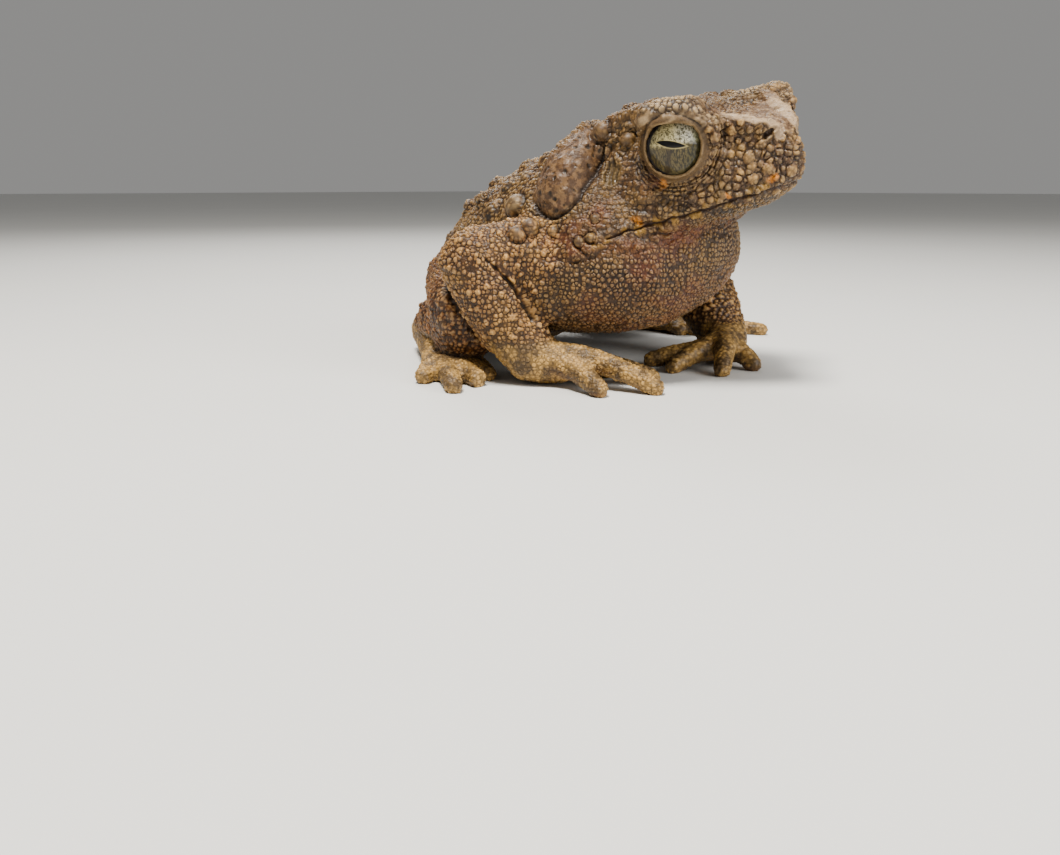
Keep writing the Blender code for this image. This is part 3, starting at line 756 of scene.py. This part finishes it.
class Relief:
    """How far the skin stands out in millimetres, and the grains that its colours use."""

    def __init__(self, p, q, r):
        self.p, self.q, self.r = p, q, r
        self.warp = np.stack([noise(p, 7.0, seed) for seed in (3, 4, 5)], 1)
        self.rough = 1.0 - r.bare
        self.lift = np.zeros(len(p))
        self.raise_warts()
        self.raise_face()
        self.raise_granules()
        self.add_wrinkles()
        self.raise_single_warts()
        self.shape_glands()
        self.shape_mouth()
        self.shape_ears()
        self.sink_folds()

    def raise_warts(self):
        """Large warts on the back and thighs, and tubercles on the limbs, flanks and chest."""
        p, r = self.p, self.r
        first, _, number = pebbles_on(r.back + r.leg, p + self.warp, WART_SPACING, 11)
        self.warts = knob(first, 0.24 + 0.2 * number) * (number > 0.25)
        self.warts = self.warts * unit(r.back + 0.5 * r.leg)
        self.wart_gap, self.wart_number = first, number
        first, _, number = pebbles_on(1.0 - r.lore - r.cheek, p + 0.4 * self.warp, TUBERCLE_SPACING, 23)
        height = weighed(r, TUBERCLE_HEIGHT) * (1.0 - 0.7 * (self.warts > 0.1)) * self.rough
        self.tubercles = knob(first, 0.27 + 0.15 * number) * (number > 0.12) * height
        self.tubercle_gap, self.tubercle_number = first, number
        self.lift += WART_HEIGHT * self.warts + self.tubercles

    def raise_face(self):
        """The face's pebbles, the cheeks' lumps, the brows' beads and the rings under the eyes."""
        p, r = self.p, self.r
        bent = p + 0.3 * self.warp
        first, _, large_number = pebbles_on(r.lore, bent, LARGE_PEBBLE_SPACING, 31)
        large = 1.1 * knob(first, 0.34 + 0.12 * large_number) * (large_number > 0.4)
        first, second, number = pebbles_on(r.lore + r.cheek, bent, PEBBLE_SPACING, 29, 0.62)
        self.paved = np.maximum(bead(first, second, 0.56, 0.26) * (0.6 + 0.25 * number), large)
        self.pebble_number = np.where(large > 0.0, large_number, number)
        stretched = self.q * (0.7, 1.0, 1.2) + 1.3 * self.warp
        first, second, _ = pebbles_on(r.folds, stretched, CHEEK_LUMP_SPACING, 33)
        lumps = bead(first, second, 0.75, 0.4)
        first, second, self.brow_number = pebbles_on(r.hood, p, BROW_BEAD_SPACING, 61, 0.6)
        self.brow_beads = bead(first, second, 0.62, 0.36)
        self.lift += (LORE_PEBBLE_HEIGHT * r.lore + CHEEK_PEBBLE_HEIGHT * r.cheek * self.rough) * self.paved
        self.lift += CHEEK_LUMP_HEIGHT * r.folds * lumps * self.rough
        self.lift += BROW_BEAD_HEIGHT * r.hood * self.brow_beads
        self.lift += RING_HEIGHT * r.rings * np.sin((r.off - 12.0) * 4.6)
        self.lift -= 0.25 * bell(r.off - 12.7, 0.35) * r.rings

    def raise_granules(self):
        """Granules nearly everywhere, with finer ones over them."""
        p, r = self.p, self.r
        first, second, self.granule_number = pebbles(p, GRANULE_SPACING, 37, 0.65)
        self.granules = bead(first, second, 0.58, 0.28)
        self.granule_gap = first
        height = (GRANULE_HEIGHT + weighed(r, GRANULE_CHANGE)) * self.rough
        self.lift += self.granules * height * (1.0 - 0.6 * unit(self.tubercles))
        self.lift += 0.3 * r.lore * self.granules * (1.0 - self.paved)
        first, second, _ = pebbles_on(1.0 - r.lore, p, FINE_GRAIN_SPACING, 43)
        self.lift += bead(first, second) * (FINE_GRAIN_HEIGHT * self.rough + 0.06 + 0.06 * r.digits)

    def add_wrinkles(self):
        """Wrinkles along the snout and across the throat, and slow swells everywhere."""
        p, q, r = self.p, self.q, self.r
        self.lines = noise(q * (0.25, 1.4, 1.4), 1.7, 65)
        lumps = knob(self.tubercle_gap, 0.32) * (self.tubercle_number > 0.45)
        self.lift += weighed(r, WRINKLE_HEIGHT) * self.lines + SNOUT_LUMP_HEIGHT * r.snout * lumps
        self.lift -= 0.4 * r.lore * bell(r.ridge - 2.2, 1.2) * ramp(q[:, 0], 12.0, 16.0)
        self.lift += 0.25 * r.throat * noise(q * (0.4, 0.5, 1.6), 3.0, 66)
        self.lift += SWELL_HEIGHT * noise(p, 8.0, 67) * (1.0 - r.lid) * (1.0 - r.digits)

    def raise_single_warts(self):
        """The single warts behind the jaw and on the shoulder, each with a pore and a dip about it."""
        p = self.p
        self.dome, self.pores, dips = np.zeros((3, len(p)))
        for *centre, radius, height in BIG_WARTS:
            for side in SIDES:
                d = distance(p, from_head(centre, side)) / radius
                self.dome = np.maximum(self.dome, height * unit(1.0 - d * d) ** 0.6)
                self.pores = np.maximum(self.pores, bell(d, 0.14))
                dips = np.maximum(dips, bell(d - 1.2, 0.16))
        high = np.maximum(self.lift, 1.3 * self.dome + 0.12 * self.granules)
        self.lift = np.where(self.dome > 0.0, high, self.lift - 0.5 * dips)

    def shape_glands(self):
        """The glands' swells and ragged pits, and the groove about each gland."""
        p, r = self.p, self.r
        first, _, number = pebbles_on(r.gland, p + 0.9 * self.warp, PIT_SPACING, 51, 0.95)
        ragged = first + 0.16 * noise(p, 0.9, 55)
        hole = ramp(ragged, 0.36 + 0.2 * number, 0.12) * (number > 0.25)
        self.pits = ramp(r.gland, 0.6, 1.0) * hole
        self.lift += r.gland * (0.6 * noise(p, 4.5, 52) + 0.2 * noise(p, 1.6, 53)) - PIT_DEPTH * self.pits
        wander = 0.6 * noise(p, 5.0, 54)
        # The gland's groove is deepest at its front edge, which the folds' painted shadow also darkens
        self.gland_groove = (0.15 + 1.6 * r.gland_front) * bell(r.gland_gap - 1.3 - wander, 0.9)

    def shape_mouth(self):
        """The mouth's crease with the lips about it, and the nostrils with their rims."""
        q, r = self.q, self.r
        self.mouth, self.above = mouth_shape(q, r.head)
        self.nose = nostril_shape(q)
        self.lift *= 1.0 - 0.6 * bell(self.mouth, 1.0)
        self.lift -= MOUTH_DEPTH * bell(self.mouth, 0.38)
        self.lift += 0.4 * bell(self.above - 1.6, 1.0) * r.head * (self.mouth < 5.0)
        self.lift -= NOSTRIL_DEPTH * ramp(self.nose, 1.0, 0.5)
        self.lift += 0.5 * bell(self.nose - 1.4, 0.3)

    def shape_ears(self):
        """The rims and wrinkles of the ear drums."""
        q, ear = self.q, self.r.ear
        self.lift += 2.0 * ear * (1.0 - ear) - 0.4 * ramp(ear, 0.6, 0.95)
        self.lift += 0.25 * ear * np.sin(q[:, 0] * 3.0 + 2.0 * noise(q, 3.0, 88))

    def sink_folds(self):
        """The front edge of the near arm, and the folds between limbs, body, glands and lids."""
        p, r = self.p, self.r
        edge = line_distance(p, ARM_EDGE)
        beyond = ramp((p - np.array(ARM_EDGE[3][:3])) @ np.array(ARM_FRONT), -1.0, 1.0)
        self.lift *= 1.0 - 0.8 * bell(edge, 1.3)
        self.lift += bell(edge, 3.5) * (0.8 - 2.0 * beyond)
        arm_fold = 2.0 * bell(edge + 0.4 * noise(p, 2.5, 93), 1.0)
        # The folds, grooves and the arm's edge also set the painted shade in them
        self.fold = np.maximum.reduce([r.fold, self.gland_groove, arm_fold, LID_GROOVE_DEPTH * r.groove])
        self.lift -= self.fold

    def grain_values(self):
        """Which grain each vertex is on, how near its top, and the dark tips, pores and pits."""
        r = self.r
        pebbled = unit(r.lore + 0.5 * r.cheek)
        tops = self.granules + (0.3 + 0.7 * self.paved - self.granules) * pebbled
        tops += (self.brow_beads - tops) * r.hood
        tops = np.maximum(tops, unit(self.tubercles * 1.6))
        number = np.where(r.lore > 0.4, self.pebble_number, self.tubercle_number)
        spots = bell(self.tubercle_gap, 0.075) * (self.tubercle_number > 0.4)
        spots = spots * unit(r.limb + r.belly + 0.6 * r.back)
        points = bell(self.granule_gap, 0.22) * (self.granule_number > 0.62)
        points = points * unit(r.throat + 0.7 * r.belly)
        wart_pores = bell(self.wart_gap, 0.05) * (self.warts > 0.3)
        return {
            "tone": np.where(self.warts > 0.2, self.wart_number, number),
            "speck": np.where(r.hood > 0.4, self.brow_number, self.granule_number),
            "bead": tops + (0.7 + 0.3 * self.lines - tops) * r.bare,
            "tip": unit(spots + points + self.pores + self.pits + wart_pores),
        }

    def form_values(self):
        """Painted shade in the folds and grooves, warts, lips and creases, as values from 0 to 1."""
        return {
            # Painted shade, from the depth of the folds
            "shade": unit(self.fold / 1.6),
            "wart": unit(self.warts * (self.warts > 0.25) + self.dome * 0.6),
            "lips": bell(self.mouth - 3.0, 3.5) * self.r.head,
            "crease": unit(bell(self.mouth, 0.55) + ramp(self.nose, 1.15, 0.7)),
        }

    def height_values(self, links):
        """How far each vertex stands above what lies close by and further off."""
        return {
            "proud": np.clip((self.lift - blurred(self.lift, links, 8)) / 0.2, -1.0, 1.0),
            "relief": np.clip((self.lift - blurred(self.lift, links, 50)) / 0.6, -1.0, 1.0),
        }


def patches(p, spots, inner, outer):
    """One within any of the spots of either side, falling to nothing outside it."""
    found = np.zeros(len(p))
    for *centre, radius in spots:
        for side in SIDES:
            near = ramp(distance(p, from_head(centre, side)), radius * outer, radius * inner)
            found = np.maximum(found, near)
    return found


def stain_values(p, r, relief):
    """Red, orange and yellow patches."""
    wobble = (noise(p, 3.0, 71) * 2.2)[:, None]
    red = patches(p + wobble, RED_PATCHES, 0.4, 1.6)
    red *= (0.6 + 0.4 * noise(p, 2.2, 73)) * ramp(relief.dome, 0.4, 0.0)
    red += 0.5 * r.throat * ramp(noise(p, 7.0, 78), 0.1, 0.7)
    orange = patches(p + 0.5 * wobble, ORANGE_SPOTS, 0.5, 1.3)
    yellow = bell(np.maximum(np.abs(relief.above) - 1.2, 0.0), 1.6) * (relief.mouth < 6.0)
    return {
        "red": unit(red),
        "orange": np.maximum(orange, r.leg * ramp(noise(p, 6.0, 74), 0.55, 0.75)),
        "yellow": yellow * ramp(noise(p, 3.2, 77), 0.0, 0.45) * r.head,
    }


# Regions that the colours use as they are
COLOURED = ("lid", "rim", "hood", "brow", "canthus_highlight", "snout", "lore", "throat", "gland")


def make_skin():
    skin = base_skin()
    mesh = skin.data
    co, no = coordinates(mesh), normals(mesh)
    p, q = to_model(co), to_head(co)
    r = Regions(mesh, p, q, no)
    relief = Relief(p, q, r)
    co = co + no * (relief.lift * MM)[:, None] + np.array(HEAD_TURN.col[2]) * (r.rise * MM)[:, None]
    co[:, 2] = np.maximum(co[:, 2], 0.0)
    finish_mesh(mesh, co, skin_material())
    values = {name: getattr(r, name) for name in COLOURED}
    values |= relief.grain_values() | relief.form_values() | relief.height_values(edges(mesh))
    for name, value in (values | stain_values(p, r, relief)).items():
        add_values(mesh, name, value)
    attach(skin, "root")
    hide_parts(*[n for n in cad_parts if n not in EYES])


# Materials, with colours as linear red, green and blue

# The two ends of each mix on the skin
COLOURS = {
    # Between the granules: the skin's darker ground, deepened by painted shade in the crevices
    "gap": ((0.024, 0.013, 0.007), (0.046, 0.028, 0.012)),
    "granule": ((0.078, 0.044, 0.022), (0.13, 0.083, 0.035)),
    "tubercle": ((0.125, 0.08, 0.044), (0.3, 0.205, 0.098)),
    "speck": ((0.66, 0.63, 0.66), (1.28, 1.18, 1.05)),
    "digits": ((0.47, 0.3, 0.11), (0.125, 0.082, 0.042)),
    "snout": ((0.1, 0.062, 0.045), (0.3, 0.215, 0.165)),
    # The snout ridge: paler skin with a painted highlight along it
    "canthus_highlight": ((0.36, 0.27, 0.21), (0.47, 0.37, 0.3)),
    "hood": ((0.05, 0.032, 0.02), (0.31, 0.235, 0.165)),
    "brow": ((0.11, 0.072, 0.045), (0.34, 0.255, 0.18)),
    "lid": ((0.05, 0.032, 0.018), (0.13, 0.085, 0.048)),
    "gland": ((0.126, 0.072, 0.04), (0.2, 0.124, 0.074)),
    "ear": ((0.04, 0.03, 0.015), (0.1, 0.074, 0.038)),
    "wart": ((0.075, 0.046, 0.03), (0.17, 0.112, 0.066)),
}
GLAND_BLOTCH = (0.054, 0.03, 0.02)
# Darker between the beads on the digits: partly their own tone, partly painted shade
DIGIT_GAP_TONE_AND_SHADE = (0.05, 0.032, 0.014)
# The lids' pale edge: partly its own paler skin, partly a painted highlight
LID_EDGE_AND_HIGHLIGHT = (0.24, 0.165, 0.095)
RED = (0.19, 0.046, 0.024)
YELLOW = (0.33, 0.19, 0.03)
ORANGE = (0.56, 0.2, 0.008)
RAISED = (0.36, 0.27, 0.16)
# Painted shade in hollows
SUNK_SHADE = (0.01, 0.006, 0.004)
FOLD_SHADE = (0.014, 0.008, 0.006)
TIP = (0.008, 0.006, 0.005)
# Painted shade in the folds
CREASE = (0.016, 0.006, 0.005)

# Factors that the skin's colour is multiplied by
DUSKY = (0.52, 0.5, 0.6)
CREAMY = (1.6, 1.55, 1.2)
BRUISE = (0.55, 0.6, 0.75)
GRIME = (0.55, 0.52, 0.5)
WARM = (1.05, 0.97, 0.74)
TINTS = {
    "arm": (0.8, (1.95, 1.8, 1.5)),
    "leg": (0.8, (0.9, 0.6, 0.5)),
    "lore": (0.8, (1.08, 1.12, 1.35)),
    "throat": (0.7, (1.05, 0.82, 0.62)),
}


class Nodes:
    """Short ways to build one material's nodes."""

    def __init__(self, name):
        self.material = bpy.data.materials.new(name)
        self.material.use_nodes = True
        self.tree = self.material.node_tree
        self.shader = self.tree.nodes["Principled BSDF"]

    def feed(self, socket, v):
        """Sets a socket to a number or colour, or links it to a node's output or a named value."""
        if isinstance(v, str):
            v = self.value(v)
        if isinstance(v, tuple) and socket.type == "RGBA":
            socket.default_value = (*v, 1.0)
        elif isinstance(v, (int, float, tuple)):
            socket.default_value = v
        else:
            self.tree.links.new(v, socket)

    def add(self, kind, inputs, output=0, **settings):
        """A node with its settings and inputs; gives one of its outputs."""
        node = self.tree.nodes.new("ShaderNode" + kind)
        for key, v in settings.items():
            setattr(node, key, v)
        for key, v in inputs.items():
            self.feed(node.inputs[key], v)
        return node.outputs[output]

    def shade(self, inputs):
        """Sets the inputs of the material's shader."""
        for key, v in inputs.items():
            self.feed(self.shader.inputs[key], v)

    def value(self, name):
        return self.add("Attribute", {}, "Fac", attribute_name=name)

    def math(self, kind, a, b=0.0):
        return self.add("Math", {0: a, 1: b}, operation=kind)

    def times(self, a, b):
        return self.math("MULTIPLY", a, b)

    def spread(self, value, low, high, to_low=0.0, to_high=1.0):
        inputs = {"Value": value, "From Min": low, "From Max": high, "To Min": to_low, "To Max": to_high}
        return self.add("MapRange", inputs, interpolation_type="SMOOTHSTEP")

    def noise(self, scale, detail=4.0, rough=0.55):
        """Noise over the object's own coordinates, with a scale in metres."""
        place = self.add("TexCoord", {}, "Object")
        place = self.add("Mapping", {"Vector": place, "Scale": (1.0 / scale,) * 3})
        inputs = {"Vector": place, "Scale": 1.0, "Detail": detail, "Roughness": rough}
        return self.add("TexNoise", inputs)

    def mix(self, factor, a, b, kind="MIX"):
        inputs = {0: factor, 6: a, 7: b}
        return self.add("Mix", inputs, 2, data_type="RGBA", blend_type=kind)

    def tint(self, colour, amount, strength, factor):
        """The colour multiplied by a factor where the amount is one."""
        return self.mix(self.times(amount, strength), colour, factor, "MULTIPLY")


def body_colour(n, patch):
    """Dark between the granules, where the skin's darker ground is deepened by painted shade, brown on them
    and tan on the tubercles, with a tint for each region.
    """
    gap, granule = n.mix(patch, *COLOURS["gap"]), n.mix(patch, *COLOURS["granule"])
    colour = n.mix(n.spread("bead", 0.0, 0.6), gap, granule)
    plain = n.spread("throat", 0.0, 1.0, 1.0, 0.5)
    raised = n.times(n.spread("bead", 0.4, 1.0), n.spread("relief", -0.1, 0.85))
    colour = n.mix(n.times(raised, plain), colour, n.mix("tone", *COLOURS["tubercle"]))
    colour = n.mix(1.0, colour, n.mix("speck", *COLOURS["speck"]), "MULTIPLY")
    for name, (strength, factor) in TINTS.items():
        colour = n.tint(colour, name, strength, factor)
    dusky = n.times("lore", n.spread("tone", 0.6, 0.3))
    creamy = n.times("lore", n.spread("tone", 0.72, 0.9))
    bruise = n.times("lips", n.spread(n.noise(0.006, 3.0), 0.48, 0.6))
    colour = n.tint(colour, dusky, 0.7, DUSKY)
    colour = n.tint(colour, creamy, 0.6, CREAMY)
    return n.tint(colour, bruise, 0.8, BRUISE)


def region_colours(n, patch):
    """What covers the body's colour in places: the value that says where, how much, and the colour."""
    ochre = n.mix(n.spread(n.noise(0.007, 3.0), 0.45, 0.6), *COLOURS["digits"])
    # The digits darker between their beads, partly painted shade
    ochre = n.mix(n.spread("bead", 0.15, 0.8), n.mix(0.5, ochre, DIGIT_GAP_TONE_AND_SHADE), ochre)
    blotch = n.spread(n.noise(0.0026, 5.0, 0.65), 0.44, 0.58)
    return [
        ("digits", 0.85, ochre),
        ("snout", 0.75, n.mix(n.spread("bead", 0.45, 0.95), *COLOURS["snout"])),
        ("canthus_highlight", 0.7, n.mix(patch, *COLOURS["canthus_highlight"])),
        ("hood", 0.75, n.mix(n.spread("bead", 0.1, 0.85), *COLOURS["hood"])),
        ("brow", 0.85, n.mix(n.spread("bead", 0.5, 0.9), *COLOURS["brow"])),
        ("lid", 0.9, n.mix(n.noise(0.0012, 3.0), *COLOURS["lid"])),
        ("rim", 0.7, LID_EDGE_AND_HIGHLIGHT),
        ("gland", 0.85, n.mix(blotch, GLAND_BLOTCH, n.mix(patch, *COLOURS["gland"]))),
        ("ear", 0.7, n.mix(n.noise(0.002), *COLOURS["ear"])),
        ("wart", 0.5, n.mix(blotch, *COLOURS["wart"])),
        ("red", 0.36, RED),
        ("yellow", 0.6, YELLOW),
        ("orange", 0.7, ORANGE),
    ]


def depth_colours(n, colour):
    """The colour made paler on what stands out, with painted shade in what is sunk and in the folds, and
    darker at the tips.
    """
    colour = n.mix(n.spread("proud", 0.3, 1.0, 0.0, 0.3), colour, RAISED)
    # Painted shade in what is sunk, less of it on the lores and digits
    hollow_shade = n.spread("proud", -0.1, -0.9, 0.0, 0.72)
    hollow_shade = n.times(hollow_shade, n.spread("lore", 0.0, 1.0, 1.0, 0.5))
    hollow_shade = n.times(hollow_shade, n.spread("digits", 0.0, 1.0, 1.0, 0.6))
    colour = n.mix(hollow_shade, colour, SUNK_SHADE)
    # Painted shade in the folds, grooves and creases between parts
    colour = n.mix(n.spread("shade", 0.15, 1.0, 0.0, 0.88), colour, FOLD_SHADE)
    colour = n.mix(n.times("tip", 0.85), colour, TIP)
    return n.mix(n.times("crease", 0.8), colour, CREASE)


def skin_material():
    n = Nodes("toad_skin")
    patch = n.spread(n.noise(0.011, 4.0), 0.38, 0.66)
    grain = n.noise(0.0009, 5.0, 0.65)
    colour = body_colour(n, patch)
    for name, strength, paint in region_colours(n, patch):
        colour = n.mix(n.times(name, strength), colour, paint)
    colour = depth_colours(n, colour)
    colour = n.tint(colour, n.spread(grain, 0.35, 0.7), 0.6, GRIME)
    colour = n.mix(1.0, colour, WARM, "MULTIPLY")
    rough = n.spread(n.noise(0.0022, 3.0), 0.3, 0.7, 0.36, 0.58)
    bump = n.add("Bump", {"Height": grain, "Strength": 0.28, "Distance": 0.0003})
    n.shade({"Base Color": colour, "Roughness": rough, "Specular IOR Level": 0.28, "Normal": bump})
    return n.material


# The iris and pupil, in parts of the eye's radius, and the pupil's tilt in degrees
# The iris sits a little ahead and down, so that the dark ring is wider at the back and top, where it stands
# for painted shade from the lid
IRIS, IRIS_AHEAD, IRIS_DOWN = 0.82, 0.1, 0.03
PUPIL_LONG, PUPIL_HIGH = 0.46, 0.09
PUPIL_TILT = -16.0
PUPIL_RISE = 0.14

# The iris's colours
GOLD = (0.58, 0.5, 0.25)
SILVER = (0.54, 0.51, 0.38)
BRONZE = (0.105, 0.078, 0.028)
LACE = (0.03, 0.025, 0.012)
FINE_LACE = (0.04, 0.032, 0.014)
THREADS = (0.016, 0.014, 0.007)
OLIVE = (0.42, 0.46, 0.3)
OUTER_IRIS = (0.03, 0.028, 0.016)
# The eye's own near-black rim, with painted shade from the lid where it is wider
EYE_RIM_AND_LID_SHADE = (0.004, 0.005, 0.009)
PUPIL_RIM = (0.46, 0.38, 0.17)
PUPIL_BAND = (0.018, 0.012, 0.008)
PUPIL = (0.002, 0.002, 0.002)


def iris_colour(n, across, up):
    """Pale gold and silver over bronze, laced with dark, olive to the front, in a near-black ring, widened
    at the top and back as painted shade from the lid.
    """
    ahead, down = n.math("SUBTRACT", across, IRIS_AHEAD), n.math("ADD", up, IRIS_DOWN)
    off = n.math("SQRT", n.math("ADD", n.times(ahead, ahead), n.times(down, down)))
    pale = n.mix(n.spread(across, 0.0, 0.4), GOLD, SILVER)
    colour = n.mix(n.spread(up, 0.02, 0.2), BRONZE, pale)
    lace = n.spread(n.noise(0.0010, 6.0, 0.75), 0.45, 0.58)
    colour = n.mix(n.times(lace, n.spread(up, 0.1, -0.1, 0.85, 0.45)), colour, LACE)
    colour = n.mix(n.spread(n.noise(0.0005, 3.0, 0.7), 0.5, 0.62, 0.0, 0.6), colour, FINE_LACE)
    place = n.add("CombineXYZ", {"X": n.times(across, 17.0), "Y": n.times(up, 6.0)})
    threads = n.add("TexNoise", {"Vector": place, "Scale": 1.0, "Detail": 3.0})
    threads = n.times(n.spread(threads, 0.47, 0.56, 0.0, 0.9), n.spread(up, 0.12, -0.05))
    colour = n.mix(threads, colour, THREADS)
    olive = n.spread(n.math("SUBTRACT", across, n.times(up, 0.4)), 0.35, 0.75)
    colour = n.tint(colour, olive, 0.9, OLIVE)
    colour = n.mix(n.spread(off, 0.55, IRIS, 0.0, 0.45), colour, OUTER_IRIS)
    return n.mix(n.spread(off, IRIS - 0.02, IRIS + 0.03), colour, EYE_RIM_AND_LID_SHADE)


def add_pupil(n, colour, across, up):
    """A lens-shaped slit with a bright rim, and a dark band under it."""
    tilt = math.radians(PUPIL_TILT)
    c, s = math.cos(tilt), math.sin(tilt)
    risen = n.math("SUBTRACT", up, PUPIL_RISE)
    along = n.math("ADD", n.times(across, c), n.times(risen, s))
    over = n.math("ADD", n.times(risen, c), n.times(across, -s))
    part = n.math("DIVIDE", along, PUPIL_LONG)
    room = n.times(n.math("SUBTRACT", 1.0, n.times(part, part)), PUPIL_HIGH)
    gap = n.math("SUBTRACT", n.math("ABSOLUTE", over), room)
    colour = n.mix(n.times(n.spread(gap, 0.055, 0.03), 0.5), colour, PUPIL_RIM)
    band = n.times(n.spread(n.math("ABSOLUTE", along), 0.13, 0.03), n.spread(over, -0.12, -0.2))
    colour = n.mix(n.times(band, 0.75), colour, PUPIL_BAND)
    return n.mix(n.spread(gap, 0.02, 0.0), colour, PUPIL)


def eye_material():
    n = Nodes("toad_eye")
    across, up = n.value("eye_y"), n.value("eye_z")
    colour = add_pupil(n, iris_colour(n, across, up), across, up)
    n.shade({"Base Color": colour, "Roughness": 0.35, "Specular IOR Level": 0.12})
    n.shade({"Coat Weight": 0.35, "Coat Roughness": 0.03})
    return n.material


# Eyes


def eye_place(side):
    """The eye's centre, and the turn that takes +X to the way it looks."""
    centre = from_head(EYE_CENTRE, side)
    out = (from_head(EYE_CENTRE + EYE_AXIS, side) - centre).normalized()
    up = HEAD_TURN @ Vector((0, 0, 1))
    across = up.cross(out).normalized()
    return centre + SHIFT, Matrix((out, across, out.cross(across))).transposed()


def make_eye(side, material):
    centre, turned = eye_place(side)
    bm = bmesh.new()
    bmesh.ops.create_uvsphere(bm, u_segments=128, v_segments=96, radius=EYE_RADIUS * MM)
    mesh = bpy.data.meshes.new(f"eyeball_{side}")
    bm.to_mesh(mesh)
    bm.free()
    # The sphere's poles are turned to the front and back of the eye
    local = coordinates(mesh)[:, [2, 0, 1]] / (EYE_RADIUS * MM)
    add_values(mesh, "eye_y", -local[:, 1] * SIDES[side])
    add_values(mesh, "eye_z", local[:, 2])
    co = (local * EYE_RADIUS) @ np.array(turned).T + np.array(centre)
    finish_mesh(mesh, co * MM, material)
    eye = new_object(f"eyeball_{side}", mesh)
    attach(eye, "root")
    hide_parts(f"eye_{side}")


# Studio, in metres and watts

FLOOR_SIZE = 20.0
FLOOR_COLOURS = (0.62, 0.62, 0.6), (0.66, 0.66, 0.64)
LIGHT_AIM = (0.0, 0.0, 0.05)
LIGHTS = [
    ((0.14, -0.38, 1.02), 0.25, 28.0, (1.0, 0.95, 0.87)),
    ((0.9, 0.1, 0.4), 0.6, 9.0, (1.0, 0.98, 0.95)),
    ((-0.7, 0.4, 0.8), 0.5, 7.0, (1.0, 0.98, 0.95)),
]
SKY_COLOUR, SKY_STRENGTH = (0.88, 0.87, 0.85, 1.0), 0.32


def make_floor():
    bpy.ops.mesh.primitive_plane_add(size=FLOOR_SIZE, location=(0.0, 0.0, 0.0))
    floor = bpy.context.object
    floor.name = "floor"
    n = Nodes("studio_floor")
    n.shade({"Base Color": n.mix(n.noise(0.3, 2.0), *FLOOR_COLOURS), "Roughness": 0.8})
    floor.data.materials.append(n.material)


def make_light(place, size, energy, colour):
    data = bpy.data.lights.new("soft_light", "AREA")
    data.size = size
    data.energy = energy
    data.color = colour
    light = new_object("soft_light", data)
    light.location = place
    light.rotation_mode = "QUATERNION"
    light.rotation_quaternion = (Vector(LIGHT_AIM) - Vector(place)).to_track_quat("-Z", "Y")


def make_studio():
    make_floor()
    for light in LIGHTS:
        make_light(*light)
    world = bpy.data.worlds.new("studio")
    bpy.context.scene.world = world
    world.use_nodes = True
    background = world.node_tree.nodes["Background"]
    background.inputs["Color"].default_value = SKY_COLOUR
    background.inputs["Strength"].default_value = SKY_STRENGTH


def make_camera():
    data = bpy.data.cameras.new("camera")
    data.sensor_fit = "HORIZONTAL"
    data.sensor_width = SENSOR_WIDTH
    data.lens = SENSOR_WIDTH * CAMERA_FOCAL / FRAME_WIDTH
    data.clip_start = 0.01
    camera = new_object("camera", data)
    camera.location = (CAMERA_PLACE + SHIFT) * MM
    camera.rotation_euler = (math.radians(90.0 + CAMERA_TILT), 0.0, math.radians(CAMERA_HEADING - 90.0))
    bpy.context.scene.camera = camera


make_skin()
iris = eye_material()
for side in SIDES:
    make_eye(side, iris)
make_studio()
make_camera()
